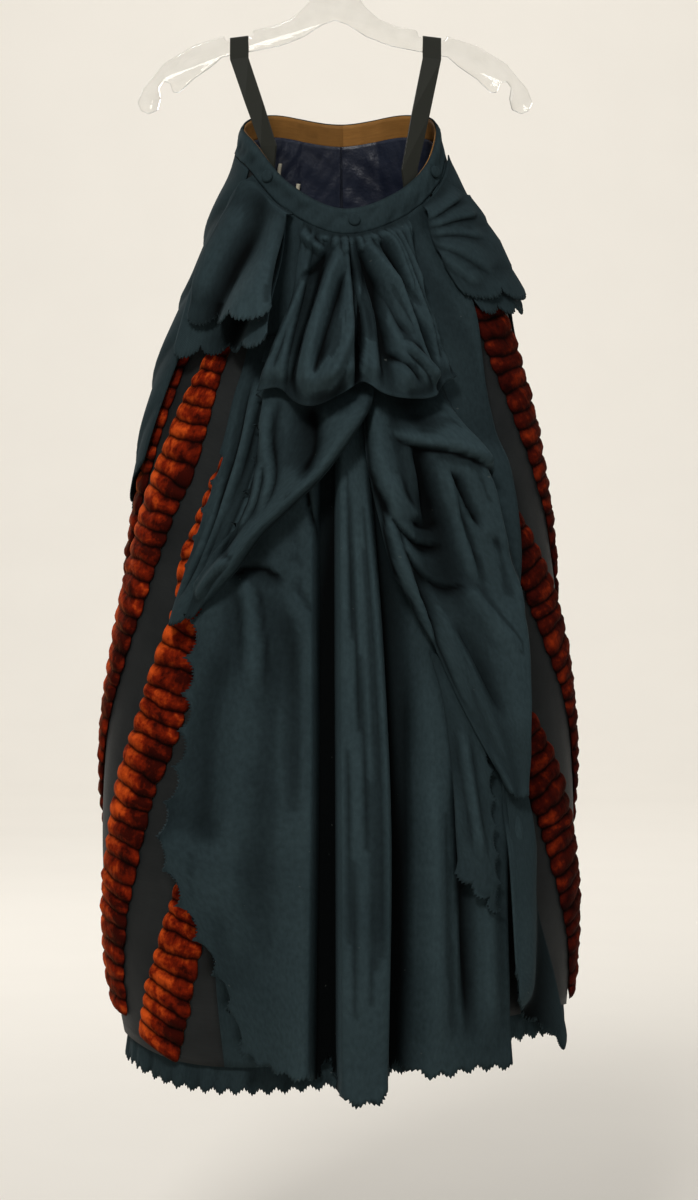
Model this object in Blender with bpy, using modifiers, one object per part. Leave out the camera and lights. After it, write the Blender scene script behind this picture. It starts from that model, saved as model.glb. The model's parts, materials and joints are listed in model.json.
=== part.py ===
"""Draped skirt of an 1880s walking dress, hung by two tapes from a clear hanger.

The skirt is seen from its draped back, which faces -Y. +X is the viewer's right and +Z is up.
The origin is the point inside the hanger's hook that rests on a rod. Tables are in millimetres.

Round the body a place is an angle: 0 at the middle of the near side, 90 at the viewer's right,
180 at the middle of the far side. The bare skirt is a stack of ovals between the waist and the hem,
and every other layer stands off it by its lift, so that the layers nest inside each other.
"""

import math

import bmesh
import bpy
import numpy as np
from mathutils import Matrix, Vector

MM = 0.001
DEGREES = math.pi / 180

# The bare skirt
CENTRE_X = 5.0
SECTIONS = (
    # drop: share of the way from waist to hem; then half widths and half depths
    # drop  left right near far
    (0.00, 104, 104, 82, 82),
    (0.06, 118, 120, 92, 94),
    (0.12, 140, 148, 104, 108),
    (0.19, 160, 176, 116, 122),
    (0.28, 187, 197, 128, 136),
    (0.40, 212, 217, 140, 150),
    (0.55, 237, 236, 152, 160),
    (0.70, 254, 250, 162, 168),
    (0.82, 256, 253, 166, 170),
    (0.92, 248, 251, 166, 168),
    (1.00, 233, 246, 160, 162),
)
WAIST_EDGE = (
    # angle, height of the waistband's top edge, which droops where the back drapery pulls on it
    (-180, -210),
    (-135, -200),
    (-90, -219),
    (-60, -240),
    (-32, -284),
    (0, -313),
    (34, -296),
    (62, -263),
    (90, -221),
    (135, -200),
    (180, -210),
)
HEM_EDGE = (
    # angle, height of the bare skirt's lower edge
    (-180, -1200),
    (-120, -1190),
    (-72, -1196),
    (-45, -1211),
    (0, -1202),
    (40, -1166),
    (72, -1160),
    (120, -1180),
    (180, -1200),
)

GORES = (
    # name, angles of its two seams, finish
    ("skirt_back_gore", -31, 38, "teal_wool"),
    ("skirt_right_gore", 38, 135, "grey_silk"),
    ("skirt_front_gore", 135, 225, "grey_silk"),
    ("skirt_left_gore", -135, -31, "grey_silk"),
)
GORE_COLUMN = 10  # degrees across each column of a gore's grid

# Cloth and the gaps between its layers
BAND_HEIGHT = 27.0
BAND_WALL = 3.0
SEAM_GAP = 0.6
LINING_WALL = 1.1
WOOL_WALL = 1.7
SILK_WALL = 1.2
TAPE_WALL = 1.0
LINING_LENGTH = 125.0
SEWN_GAP = 0.4
LAYER_GAP = 0.8

# Scalloped and pinked edges
SCALLOP_PITCH = 34.0
SCALLOP_DEPTH = 8.5
SCALLOP_STEPS = (0.0, 0.12, 0.34, 0.66, 0.88)
HEM_TOOTH_PITCH = 18.0
HEM_TOOTH_DEPTH = 7.0
HEM_TOOTH_STEPS = (0.0, 0.5)

# Folds of the near drapery. Each row: height, left foot and right foot across the front view, and height of
# the fold; each fold ends with the widths of its two walls
BACK_PLEATS = (
    (((-330, -200, -8, 0), (-400, -200, -12, 3), (-620, -215, -17, 14),
      (-930, -240, -18, 22), (-1240, -240, -22, 26)), 90, 13),
    (((-330, 1, 33, 0), (-400, 4, 40, 4), (-560, 0, 40, 18),
      (-760, 0, 54, 30), (-930, 1, 62, 36), (-1240, 2, 58, 46)), 13, 14),
    (((-330, 36, 190, 0), (-400, 52, 200, 3), (-620, 62, 215, 10),
      (-930, 68, 215, 22), (-1240, 66, 215, 26)), 34, 30),
)
POUF_FOLDS = (
    (((-320, -58, -28, 2), (-400, -68, -40, 8), (-505, -84, -50, 12)), 8, 8),
    (((-330, -6, 16, 3), (-380, -20, 20, 18), (-440, -34, 21, 32), (-530, -42, 20, 34)), 11, 9),
    (((-330, 16, 26, 4), (-400, 24, 40, 14), (-530, 26, 54, 16)), 6, 8),
    (((-330, 28, 52, 4), (-400, 42, 84, 16), (-460, 54, 104, 24), (-530, 58, 118, 26)), 11, 11),
    (((-320, 60, 104, 2), (-400, 88, 116, 8), (-530, 118, 150, 14)), 11, 10),
)

# Panels. Rows of near panels: left end across and height, right end across and height, in the front view
BACK_ROWS = (
    (-84, -330, 98, -320),
    (-94, -411, 132, -410),
    (-95, -464, 150, -463),
    (-101, -517, 164, -516),
    (-109, -569, 178, -568),
    (-120, -621, 188, -621),
    (-135, -694, 194, -695),
    (-148, -767, 196, -768),
    (-155, -830, 190, -831),
    (-166, -903, 180, -903),
    (-182, -971, 174, -970),
    (-162, -1022, 173, -1022),
    (-140, -1072, 173, -1074),
    (-120, -1120, 174, -1124),
    (-97, -1184, 177, -1208),
)
BACK_STRIPS = (6, 2, 2, 2, 2, 2, 2, 3, 5)
BACK_HEM = (
    # share across, rise of the hem
    (0.00, 0),
    (0.12, -18),
    (0.23, -27),
    (0.31, -24),
    (0.35, -7),
    (0.39, -21),
    (0.50, -43),
    (0.61, -10),
    (0.69, -6),
    (0.81, -12),
    (0.90, -3),
    (1.00, 0),
)
CASCADE_ROWS = (
    (-77, -450, 39, -450),
    (-80, -501, 39, -512),
    (-82, -559, 23, -546),
    (-88, -600, -10, -595),
    (-98, -642, -41, -626),
    (-117, -673, -69, -655),
    (-135, -704, -98, -696),
    (-151, -740, -140, -738),
)
UNDER_CASCADE_ROWS = (
    (-99, -450, -40, -450),
    (-107, -516, -46, -517),
    (-113, -558, -57, -559),
    (-132, -621, -67, -621),
    (-146, -668, -88, -668),
    (-162, -710, -114, -709),
    (-178, -745, -151, -746),
)
SWAG_ROWS = (
    (39, -444, 121, -442),
    (35, -517, 136, -516),
    (34, -559, 158, -571),
    (38, -600, 173, -621),
    (47, -642, 184, -668),
    (59, -688, 195, -721),
    (80, -729, 200, -768),
    (104, -771, 199, -821),
    (130, -828, 197, -862),
    (156, -881, 200, -894),
    (178, -921, 198, -923),
)
INNER_TAIL_ROWS = (
    (101, -776, 141, -800),
    (115, -828, 158, -860),
    (123, -890, 167, -923),
    (124, -952, 169, -985),
    (126, -999, 171, -1046),
)
SIDE_TAIL_ROWS = (
    (168, -880, 188, -886),
    (172, -934, 197, -935),
    (175, -996, 211, -999),
    (178, -1052, 231, -1058),
    (181, -1106, 262, -1191),
)
POUF_ROWS = (
    (-51, -320, 109, -307),
    (-53, -369, 109, -356),
    (-56, -412, 112, -402),
    (-66, -459, 126, -447),
    (-76, -494, 140, -481),
    (-80, -508, 145, -494),
)
POUF_HEM = (
    # share across, rise of the lower edge
    (0.00, 0),
    (0.12, -1),
    (0.17, -12),
    (0.27, -20),
    (0.40, -8),
    (0.48, 2),
    (0.56, -10),
    (0.70, -18),
    (0.84, -14),
    (0.90, -4),
    (1.00, 2),
)
LEFT_FLAP_ROWS = (
    (-80, -267, -56, -295),
    (-113, -290, -52, -325),
    (-133, -318, -50, -358),
    (-149, -374, -50, -392),
    (-168, -448, -50, -426),
)
RIGHT_FLAP_ROWS = (
    (103, -300, 140, -288),
    (106, -329, 162, -308),
    (112, -350, 176, -342),
    (124, -373, 194, -370),
    (139, -398, 206, -394),
)
APRON_ROWS = (
    # angle and height of the left end, then of the right end, round the far side
    (-60, -265, -300, -270),
    (-62, -370, -286, -330),
    (-66, -475, -272, -385),
    (-75, -575, -262, -440),
)
APRON_DIP = 190.0
APRON_SWAGS = 2.5
HEM_LENGTH = 1330.0
HEM_FRILL_SHOWS = 24.0
HEM_FRILL_HIDDEN = 12.0

# Velvet bands: angle and height down the middle of each
VELVET_PATHS = {
    "velvet_left_1": ((-74, -425), (-79, -490), (-85, -550), (-93, -627), (-107, -722), (-121, -817),
                      (-135, -915), (-152, -1050), (-167, -1184)),
    "velvet_left_2": ((-45, -410), (-48, -455), (-53, -514), (-58, -575), (-65, -627), (-74, -722),
                      (-86, -817), (-99, -905), (-114, -1000), (-140, -1184)),
    "velvet_left_3": ((-40, -730), (-45, -785), (-52, -870), (-59, -930), (-64, -990), (-72, -1062),
                      (-81, -1165)),
    "velvet_left_4": ((-33, -990), (-38, -1050), (-44, -1116), (-50, -1165), (-55, -1200)),
    "velvet_right_1": ((60, -352), (66, -415), (74, -495), (82, -552), (91, -615), (106, -710),
                       (121, -805), (135, -900), (152, -1040), (167, -1176)),
    "velvet_right_2": ((44, -590), (54, -641), (62, -686), (73, -750), (85, -815), (98, -900),
                       (113, -1000), (137, -1160)),
    "velvet_right_3": ((36, -770), (46, -835), (58, -908), (66, -962), (74, -1017), (83, -1069),
                       (96, -1148)),
}
VELVET_HALF_WIDTH = 27.0
VELVET_LOBE = 3.5
VELVET_SEAT = 0.8
VELVET_VALLEY = 3.4
VELVET_CREST = 9.0
PUFF_PITCH = 26.0

# Covered buttons
BUTTONS = (
    # angle, distance of its middle below the band's top edge
    ("button_left", -44, 12),
    ("button_middle", 8, 12),
    ("button_right", 66, 13),
)
BUTTON_RADIUS = 6.6
BUTTON_HEIGHT = 3.6

# Hanger: outline of the right half, from the middle of its top edge out to the tip and back
HANGER_OUTLINE = (
    # across, height
    (19, -60),
    (22, -74),
    (33, -89),
    (48, -102),
    (65, -109),
    (88, -114),
    (90, -121),
    (118, -125),
    (120, -120),
    (154, -131),
    (185, -150),
    (207, -177),
    (213, -192),
    (209, -201),
    (201, -204),
    (191, -200),
    (188, -188),
    (190, -176),
    (185, -169),
    (178, -171),
    (175, -181),
    (168, -181),
    (152, -166),
    (133, -153),
    (122, -143),
    (89, -136),
    (60, -131),
    (34, -121),
    (14, -108),
)
HANGER_THICKNESS = 5.0
HOOK_WIRE = 1.8
HOOK_RADIUS = 19.0
HOOK_TIP = 205
HOOK_END = -62
TAPE_HALF_WIDTH = 10.0
TAPE_SEWN = 13.0
TAPE_LOOSE = 11.0
ARM_HEIGHT = 22.0
TAPE_SPOTS = (
    # side, where it hangs on the hanger's arm, angle where it is sewn inside the waistband
    ("left", -103.5, -122.5, -50),
    ("right", 104.5, -122.6, 49),
)

# Materials: linear colour, roughness, metallic
FINISHES = {
    "teal_wool": ((0.016, 0.031, 0.035), 0.85, 0.0),
    "rust_velvet": ((0.330, 0.058, 0.012), 0.70, 0.0),
    "grey_silk": ((0.034, 0.040, 0.041), 0.60, 0.0),
    "navy_lining": ((0.012, 0.014, 0.030), 0.45, 0.0),
    "brown_facing": ((0.100, 0.055, 0.017), 0.60, 0.0),
    "black_tape": ((0.018, 0.022, 0.020), 0.70, 0.0),
    "clear_plastic": ((0.850, 0.850, 0.840), 0.08, 0.0),
    "steel_wire": ((0.600, 0.600, 0.600), 0.25, 1.0),
}


def clear_scene():
    """Removes whatever the file opened with."""
    for found in list(bpy.data.objects):
        bpy.data.objects.remove(found)


def material(finish):
    """The material of that finish, made on its first use."""
    found = bpy.data.materials.get(finish)
    if found:
        return found
    colour, roughness, metallic = FINISHES[finish]
    made = bpy.data.materials.new(finish)
    made.use_nodes = True
    shader = made.node_tree.nodes["Principled BSDF"]
    shader.inputs["Base Color"].default_value = (*colour, 1.0)
    shader.inputs["Roughness"].default_value = roughness
    shader.inputs["Metallic"].default_value = metallic
    return made


def place(name, data, finish):
    """Links a new object with that data and finish to the garment's collection."""
    made = bpy.data.objects.new(name, data)
    data.materials.append(material(finish))
    garment.objects.link(made)
    return made


def smooth(x, knots, values):
    """The smooth curve through a table's knots and values, at x."""
    knots = np.asarray(knots, float)
    values = np.asarray(values, float)
    slopes = np.gradient(values, knots)
    x = np.clip(x, knots[0], knots[-1])
    low = np.clip(np.searchsorted(knots, x) - 1, 0, len(knots) - 2)
    width = knots[low + 1] - knots[low]
    t = (x - knots[low]) / width
    start = (1 + 2 * t) * (1 - t) ** 2 * values[low] + t * (1 - t) ** 2 * width * slopes[low]
    end = t * t * (3 - 2 * t) * values[low + 1] + t * t * (t - 1) * width * slopes[low + 1]
    return start + end


def column(table, index):
    """One column of a table."""
    return [row[index] for row in table]


def ease(t):
    """0 below 0, 1 above 1 and a smooth step between."""
    t = np.clip(t, 0, 1)
    return t * t * (3 - 2 * t)


def waist_edge(angle):
    """Height of the waistband's top edge."""
    return smooth(angle, column(WAIST_EDGE, 0), column(WAIST_EDGE, 1))


def hem_edge(angle):
    """Height of the bare skirt's lower edge."""
    return smooth(angle, column(HEM_EDGE, 0), column(HEM_EDGE, 1))


def wrapped(angle):
    """The same direction as an angle from -180 to 180."""
    return (np.asarray(angle, float) + 180) % 360 - 180


def half_sizes(angle, z):
    """Half width and half depth of the bare skirt on that side, at that height."""
    angle = wrapped(angle)
    drop = np.clip((waist_edge(angle) - z) / (waist_edge(angle) - hem_edge(angle)), 0, 1)
    drops = column(SECTIONS, 0)
    left, right, near, far = (smooth(drop, drops, column(SECTIONS, i)) for i in range(1, 5))
    return np.where(angle < 0, left, right), np.where(np.abs(angle) < 90, near, far)


def skirt_point(angle, z, lift):
    """Points at that angle and height, standing off the bare skirt by that lift."""
    wide, deep = half_sizes(angle, z)
    turn = np.asarray(angle, float) * DEGREES
    x = CENTRE_X + (wide + lift) * np.sin(turn)
    y = -(deep + lift) * np.cos(turn)
    return np.stack(np.broadcast_arrays(x, y, z), axis=-1)


def arc_radius(angle, z):
    """Length along the skirt's oval for each radian of the angle."""
    wide, deep = half_sizes(angle, z)
    turn = np.asarray(angle, float) * DEGREES
    return np.hypot(wide * np.cos(turn), deep * np.sin(turn))


def seen_across(angle, z, stand_off):
    """Where a place on the near side shows across the front view, for cloth that far off the skirt."""
    return CENTRE_X + (half_sizes(angle, z)[0] + stand_off) * np.sin(np.asarray(angle) * DEGREES)


def angle_seen(x, z, stand_off):
    """The angle on the near side that shows at x in the front view."""
    angle = 0.0
    for _ in range(12):
        wide = float(half_sizes(angle, z)[0]) + stand_off
        angle = math.asin(max(-1.0, min(1.0, (x - CENTRE_X) / wide))) / DEGREES
    return angle


def plateau(x, left, right, left_wall, right_wall):
    """1 between two feet, falling to 0 at each over the width of its wall."""
    return ease((x - left) / left_wall) * ease((right - x) / right_wall)


class Panel:
    """A cut piece of cloth on the skirt, as rows of places from its top to its bottom.

    A place is an angle and a height. The lines between the places run down the cloth, and strips
    gives how many of the grid's columns lie between each line and the next. With from_seam the top
    row follows the seam under the waistband. The table bottom moves the lower edge: share across, rise.
    """

    def __init__(self, rows, strips=(1,), from_seam=False, seam_drop=0.0, bottom=(), stand_off=12.0):
        rows = np.array(rows, float)
        self.angles = rows[:, :, 0]
        self.heights = rows[:, :, 1]
        self.shares = np.concatenate([[0], np.cumsum(strips)]) / sum(strips)
        self.columns = sum(strips)
        self.from_seam = from_seam
        self.seam_drop = seam_drop
        self.bottom = bottom
        self.stand_off = stand_off
        angle, z = self.angles.mean(axis=1), self.heights.mean(axis=1)
        steps = np.hypot(np.diff(angle) * DEGREES * arc_radius(angle, z)[1:], np.diff(z))
        self.knots = np.concatenate([[0], np.cumsum(np.maximum(steps, 1.0))])
        self.knots /= self.knots[-1]

    @classmethod
    def seen(cls, rows, lines=None, stand_off=12.0, **options):
        """A near panel from rows of the front view: left end across and height, then the right end's.

        lines takes a height and gives where the panel's inner lines show across the view.
        """
        turned = []
        for left, left_z, right, right_z in rows:
            spots = [left, *(lines((left_z + right_z) / 2) if lines else ()), right]
            heights = [left_z + (right_z - left_z) * (x - left) / (right - left) for x in spots]
            turned.append([(angle_seen(x, z, stand_off), z) for x, z in zip(spots, heights)])
        return cls(turned, stand_off=stand_off, **options)

    def at(self, u, v):
        """Angle and height at a share u across and a share v down."""
        u, v = np.broadcast_arrays(np.asarray(u, float), np.asarray(v, float))
        unit = np.eye(len(self.knots))
        angle = z = 0.0
        for row, own in enumerate(unit):
            weight = smooth(v, self.knots, own)
            row_angle = np.interp(u, self.shares, self.angles[row])
            row_z = np.interp(u, self.shares, self.heights[row])
            if self.from_seam and row == 0:
                row_z = waist_edge(wrapped(row_angle)) - BAND_HEIGHT - SEAM_GAP - self.seam_drop
            angle = angle + weight * row_angle
            z = z + weight * row_z
        if self.bottom:
            z = z + smooth(u, column(self.bottom, 0), column(self.bottom, 1)) * np.clip(v, 0, 1) ** 4
        return angle, z

    def across(self, angle, z):
        """Where a place of this panel shows across the front view."""
        return seen_across(angle, z, self.stand_off)

    def edge(self, side, t):
        """Angle and height along one side of the panel."""
        if side == "bottom":
            return self.at(t, 1.0)
        return self.at(0.0 if side == "left" else 1.0, t)


class Round(Panel):
    """A closed or open band round the body between two lines, each a function of the angle."""

    def __init__(self, first, last, upper, lower, columns, spread=lambda v: v):
        self.first = first
        self.last = last
        self.upper = upper
        self.lower = lower
        self.columns = columns
        self.spread = spread

    def at(self, u, v):
        """Angle and height at a share u across and a share v down."""
        u, v = np.broadcast_arrays(np.asarray(u, float), np.asarray(v, float))
        angle = self.first + (self.last - self.first) * u
        top = self.upper(wrapped(angle))
        return angle, top + (self.lower(wrapped(angle)) - top) * self.spread(v)


class Stack:
    """The highest outer face of the cloth laid so far, on a raster of heights and whole degrees."""

    CELL = 4.0
    FLOOR = -1260.0
    COUNT = 270

    def __init__(self):
        self.top = np.zeros((self.COUNT, 360))

    def cells(self, angle, z):
        """Raster row and column of a place."""
        row = np.clip(np.round((np.asarray(z) - self.FLOOR) / self.CELL).astype(int), 0, self.COUNT - 1)
        return row, np.round(np.asarray(angle)).astype(int) % 360

    def lay(self, angle, z, outer):
        """Records a piece from its grid of places and the lift of its outer face at each."""
        corners = [(part[:-1, :-1], part[:-1, 1:], part[1:, :-1], part[1:, 1:])
                   for part in (angle, z, outer)]
        for s in np.linspace(0, 1, 13):
            for t in np.linspace(0, 1, 13):
                weights = ((1 - s) * (1 - t), s * (1 - t), (1 - s) * t, s * t)
                a, height, lift = (sum(w * c for w, c in zip(weights, four)) for four in corners)
                np.maximum.at(self.top, self.cells(a, height), lift)

    def clear(self, reach_angle, reach_z):
        """A function of angle and height: the highest face within that reach of a place."""
        wide, tall = math.ceil(reach_angle), math.ceil(reach_z / self.CELL)
        grown = self.top
        for shift in range(1, wide + 1):
            grown = np.maximum(grown, np.maximum(np.roll(self.top, shift, 1), np.roll(self.top, -shift, 1)))
        base = np.pad(grown, ((tall, tall), (0, 0)), mode="edge")
        grown = np.max([base[n:n + self.COUNT] for n in range(2 * tall + 1)], axis=0)
        return lambda angle, z: grown[self.cells(angle, z)]


class Trim:
    """The cut of a panel's side: lobes or teeth of one pitch and depth, between two shares of the side."""

    def __init__(self, pitch, depth, steps, start=0.0, end=1.0, pointed=False):
        self.pitch = pitch
        self.depth = depth
        self.steps = steps
        self.start = start
        self.end = end
        self.pointed = pointed

    def reach(self, t):
        """How far the edge stands out at a share t of one lobe."""
        if self.pointed:
            return self.depth * (1 - abs(2 * t - 1))
        return self.depth * math.sqrt(max(0.0, 1 - (2 * t - 1) ** 2))


def scallops(start=0.0, end=1.0, pitch=SCALLOP_PITCH, depth=SCALLOP_DEPTH):
    """The rounded lobes of the wool's edges."""
    return Trim(pitch, depth, SCALLOP_STEPS, start, end)


def cut_side(panel, side, trim, grid):
    """Trimmed places along a side: for each step between grid shares, a list of (share, angle, height).

    The list of a step starts with the grid's own share.
    """
    shares = np.linspace(0, 1, 401)
    angle, z = panel.edge(side, shares)
    radius = arc_radius(angle, z) * DEGREES
    along = np.concatenate([[0], np.cumsum(np.hypot(np.diff(angle) * radius[1:], np.diff(z)))])
    first, last = np.interp([trim.start, trim.end], shares, along)
    lobes = max(1, round((last - first) / trim.pitch))
    length = (last - first) / lobes
    stops = [first + (n + step) * length for n in range(lobes) for step in trim.steps] + [last]
    cuts = []
    for low, high in zip(grid, list(grid[1:]) + [2.0]):
        fine = [np.interp(s, along, shares) for s in stops]
        wanted = [low] + [t for t in fine if low + 1e-4 < t < high - 1e-4 and t <= 1.0]
        step = []
        for t in wanted:
            place_along = float(np.interp(t, shares, along))
            here = np.array([np.interp(t, shares, angle), np.interp(t, shares, z)])
            before, after = max(t - 0.004, 0.0), min(t + 0.004, 1.0)
            run = np.array([np.interp(after, shares, angle) - np.interp(before, shares, angle),
                            np.interp(after, shares, z) - np.interp(before, shares, z)])
            scale = float(np.interp(t, shares, radius))
            out = np.array([run[1], -run[0] * scale])
            out /= max(float(np.hypot(*out)), 1e-9)
            if side == "left":
                out = -out
            if side == "bottom":
                out = out if out[1] < 0 else -out
            reach = 0.0
            if first <= place_along <= last:
                reach = trim.reach(((place_along - first) / length) % 1.0)
            step.append((t, here[0] + out[0] * reach / scale, here[1] + out[1] * reach))
        cuts.append(step)
    return cuts


def cloth(name, panel, rows, shape, finish, wall=WOOL_WALL, trims=None, closed=False, layer=True,
          seam_layer=None):
    """A panel's wall: a grid of quads on the skirt, sides cut by the trims, given its thickness outwards.

    shape takes the arrays angle, height, u and v and gives how far the wall's inner face stands off. With
    layer it stands that far off whatever is laid under it. A piece sewn into the waist seam gives its place
    among the layers there, from 0 next to the skirt.
    """
    trims = trims or {}
    columns = panel.columns
    across = np.linspace(0, 1, columns + 1)
    down = np.linspace(0, 1, rows + 1)
    u, v = np.meshgrid(across, down)
    angle, z = panel.at(u, v)
    lift = shape
    if layer:
        reach_angle = max(np.abs(np.diff(angle, axis=0)).max(), np.abs(np.diff(angle, axis=1)).max())
        reach_z = max(np.abs(np.diff(z, axis=0)).max(), np.abs(np.diff(z, axis=1)).max())
        under = stack.clear(reach_angle, reach_z)

        def lift(angle, z, u, v):
            free = under(angle, z) + LAYER_GAP + shape(angle, z, u, v)
            if seam_layer is None:
                return free
            sewn = SEWN_GAP + (WOOL_WALL + SEWN_GAP) * seam_layer
            return sewn + (free - sewn) * np.clip(v * rows, 0, 1)

    grids = {"left": down, "right": down, "bottom": across}
    extra = {}
    for side, trim in trims.items():
        for n, step in enumerate(cut_side(panel, side, trim, grids[side])):
            spot = {"left": (n, 0), "right": (n, columns), "bottom": (rows, n)}[side]
            angle[spot] = step[0][1]
            z[spot] = step[0][2]
            extra[side, n] = step[1:]
    lifts = lift(angle, z, u, v)
    points = skirt_point(angle, z, lifts) * MM
    mesh = bmesh.new()
    last = columns if closed else columns + 1
    verts = [[mesh.verts.new(points[j, i]) for i in range(last)] for j in range(rows + 1)]

    def between(side, n):
        made = []
        for t, a, height in extra.get((side, n), ()):
            share = {"left": (0.0, t), "right": (1.0, t), "bottom": (t, 1.0)}[side]
            spot = [np.array([value]) for value in (a, height, *share)]
            made.append(mesh.verts.new(skirt_point(spot[0], spot[1], lift(*spot))[0] * MM))
        return made

    for j in range(rows):
        for i in range(columns):
            after = (i + 1) % last
            ring = [verts[j][i]]
            if i == 0:
                ring += between("left", j)
            ring.append(verts[j + 1][i])
            if j == rows - 1:
                ring += between("bottom", i)
            ring.append(verts[j + 1][after])
            if i == columns - 1:
                ring += reversed(between("right", j))
            ring.append(verts[j][after])
            mesh.faces.new(ring)
    stack.lay(angle, z, lifts + wall)
    data = bpy.data.meshes.new(name)
    mesh.to_mesh(data)
    mesh.free()
    data.shade_smooth()
    made = place(name, data, finish)
    thicken = made.modifiers.new("thickness", "SOLIDIFY")
    thicken.thickness = wall * MM
    thicken.offset = 1.0
    thicken.use_even_offset = False
    return made


def level(amount):
    """A shape that is the same everywhere."""
    return lambda angle, z, u, v: np.full(np.shape(angle), float(amount))


def folded(folds, x, z):
    """Sum of a table's folds at a place of the front view."""
    total = 0.0
    for rows, left_wall, right_wall in folds:
        depths = [-row[0] for row in rows]
        left, right, high = (smooth(-z, depths, column(rows, i)) for i in (1, 2, 3))
        total = total + high * plateau(x, left, right, left_wall, right_wall)
    return total


def pleat_lines(z):
    """The feet and shoulders of the back breadth's pleats at a height, from left to right."""
    feet = []
    for rows, left_wall, right_wall in BACK_PLEATS:
        depths = [-row[0] for row in rows]
        left, right = (float(smooth(-z, depths, column(rows, i))) for i in (1, 2))
        feet += [left, left + left_wall, right - right_wall, right]
    return feet[2:-2]


def velvet_band(name, path):
    """A gathered band: a closed strip whose outer face rises into one puff after another."""
    path = np.array(path, float)
    radius = arc_radius(path[:, 0], path[:, 1])
    steps = np.hypot(np.diff(path[:, 0]) * DEGREES * radius[1:], np.diff(path[:, 1]))
    along = np.concatenate([[0], np.cumsum(steps)])
    puffs = round(along[-1] / PUFF_PITCH)
    stations = np.linspace(0, along[-1], 2 * puffs + 1)
    angle = smooth(stations, along, path[:, 0])
    z = smooth(stations, along, path[:, 1])
    radius = arc_radius(angle, z) * DEGREES
    run = np.stack([np.gradient(angle) * radius, np.gradient(z)])
    run /= np.hypot(*run)
    crest = np.arange(2 * puffs + 1) % 2
    half = VELVET_HALF_WIDTH + VELVET_LOBE * crest
    wide, deep = half_sizes(angle, z)
    bend = (radius / DEGREES) ** 3 / (wide * deep)
    seat = VELVET_SEAT + VELVET_HALF_WIDTH**2 / 8 / bend
    high = VELVET_VALLEY + (VELVET_CREST - VELVET_VALLEY) * crest
    # across the band, the share of its half width and whether the point is on the raised face
    outline = ((-1.0, 0), (-0.6, 1), (0.6, 1), (1.0, 0), (0.0, 0))
    mesh = bmesh.new()
    rings = []
    for n in range(len(stations)):
        ring = []
        for share, raised in outline:
            side = share * half[n]
            a = angle[n] - run[1, n] * side / radius[n]
            height = z[n] + run[0, n] * side
            lift = high[n] if raised else seat[n]
            ring.append(mesh.verts.new(skirt_point(a, height, lift) * MM))
        rings.append(ring)
    count = len(outline)
    shares = np.array([-1.0, -0.6, 0.6, 1.0])[None, :]
    sides = shares * half[:, None]
    faces = np.where(np.abs(shares) < 1, high[:, None], seat[:, None])
    stack.lay(angle[:, None] - run[1][:, None] * sides / radius[:, None],
              z[:, None] + run[0][:, None] * sides, faces)
    for first, second in zip(rings, rings[1:]):
        for i in range(count):
            mesh.faces.new((first[i], first[(i + 1) % count], second[(i + 1) % count], second[i]))
    mesh.faces.new(rings[0][::-1])
    mesh.faces.new(rings[-1])
    bmesh.ops.recalc_face_normals(mesh, faces=mesh.faces)
    data = bpy.data.meshes.new(name)
    mesh.to_mesh(data)
    mesh.free()
    place(name, data, "rust_velvet")


def seam_line(angle):
    """Height of the foundation's top edge, under the waistband."""
    return waist_edge(wrapped(angle)) - BAND_HEIGHT - 2 * SEAM_GAP


def foundation():
    """The plain skirt under the drapery: four gores, a wool back and grey silk sides and front."""
    seam = 0.1  # degrees left open on each side of a seam
    for name, first, last, finish in GORES:
        panel = Round(first + seam, last - seam, seam_line, hem_edge, round((last - first) / GORE_COLUMN),
                      spread=lambda v: v - 0.07 * np.sin(2 * np.pi * v))
        cloth(name, panel, 11, level(-SILK_WALL), finish, wall=SILK_WALL, layer=False)


def below_waist(distance):
    """The line that far below the waistband's top edge."""
    return lambda angle: waist_edge(angle) - distance


def waist():
    """Waistband, its facing and the lining that shows inside it."""
    band = Round(-180, 180, waist_edge, below_waist(BAND_HEIGHT), 36)
    cloth("waistband", band, 1, level(0.0), "teal_wool", wall=BAND_WALL, closed=True, layer=False)
    facing = Round(-180, 180, below_waist(0.6), below_waist(BAND_HEIGHT - 0.5), 36)
    cloth("waistband_facing", facing, 1, level(-SEAM_GAP - LINING_WALL), "brown_facing",
          wall=LINING_WALL, closed=True, layer=False)
    inside = Round(-180, 180, below_waist(BAND_HEIGHT + 0.2), below_waist(BAND_HEIGHT + LINING_LENGTH), 24)
    cloth("lining", inside, 3, lambda angle, z, u, v: -SILK_WALL - 1.6 - LINING_WALL - 3 * v, "navy_lining",
          wall=LINING_WALL, closed=True, layer=False)


def button(name, angle, drop):
    """A covered button, turned from its profile and set against the band."""
    z = float(waist_edge(angle)) - drop
    here = Vector(skirt_point(angle, z, BAND_WALL))
    turn_way = Vector(skirt_point(angle + 1, z, BAND_WALL)) - here
    down_way = Vector(skirt_point(angle, z - 4, BAND_WALL)) - here
    facing = turn_way.cross(-down_way).normalized()
    here += facing * 0.8
    steps = 3
    quarter = [n / steps * math.pi / 2 for n in range(steps + 1)]
    profile = [(BUTTON_RADIUS * math.sin(a), BUTTON_HEIGHT * math.cos(a)) for a in quarter]
    profile.append((BUTTON_RADIUS * 0.8, -0.05))
    profile.append((0.0, 0.0))
    data = bpy.data.meshes.new(name)
    mesh = bmesh.new()
    verts = [mesh.verts.new((r * MM, 0, h * MM)) for r, h in profile]
    for first, second in zip(verts, verts[1:]):
        mesh.edges.new((first, second))
    mesh.to_mesh(data)
    mesh.free()
    made = place(name, data, "teal_wool")
    made.location = here * MM
    made.rotation_mode = "QUATERNION"
    made.rotation_quaternion = facing.to_track_quat("Z", "Y")
    turn = made.modifiers.new("turn", "SCREW")
    turn.steps = turn.render_steps = 12
    turn.use_merge_vertices = True
    turn.merge_threshold = 0.0001
    turn.use_normal_calculate = True


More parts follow.
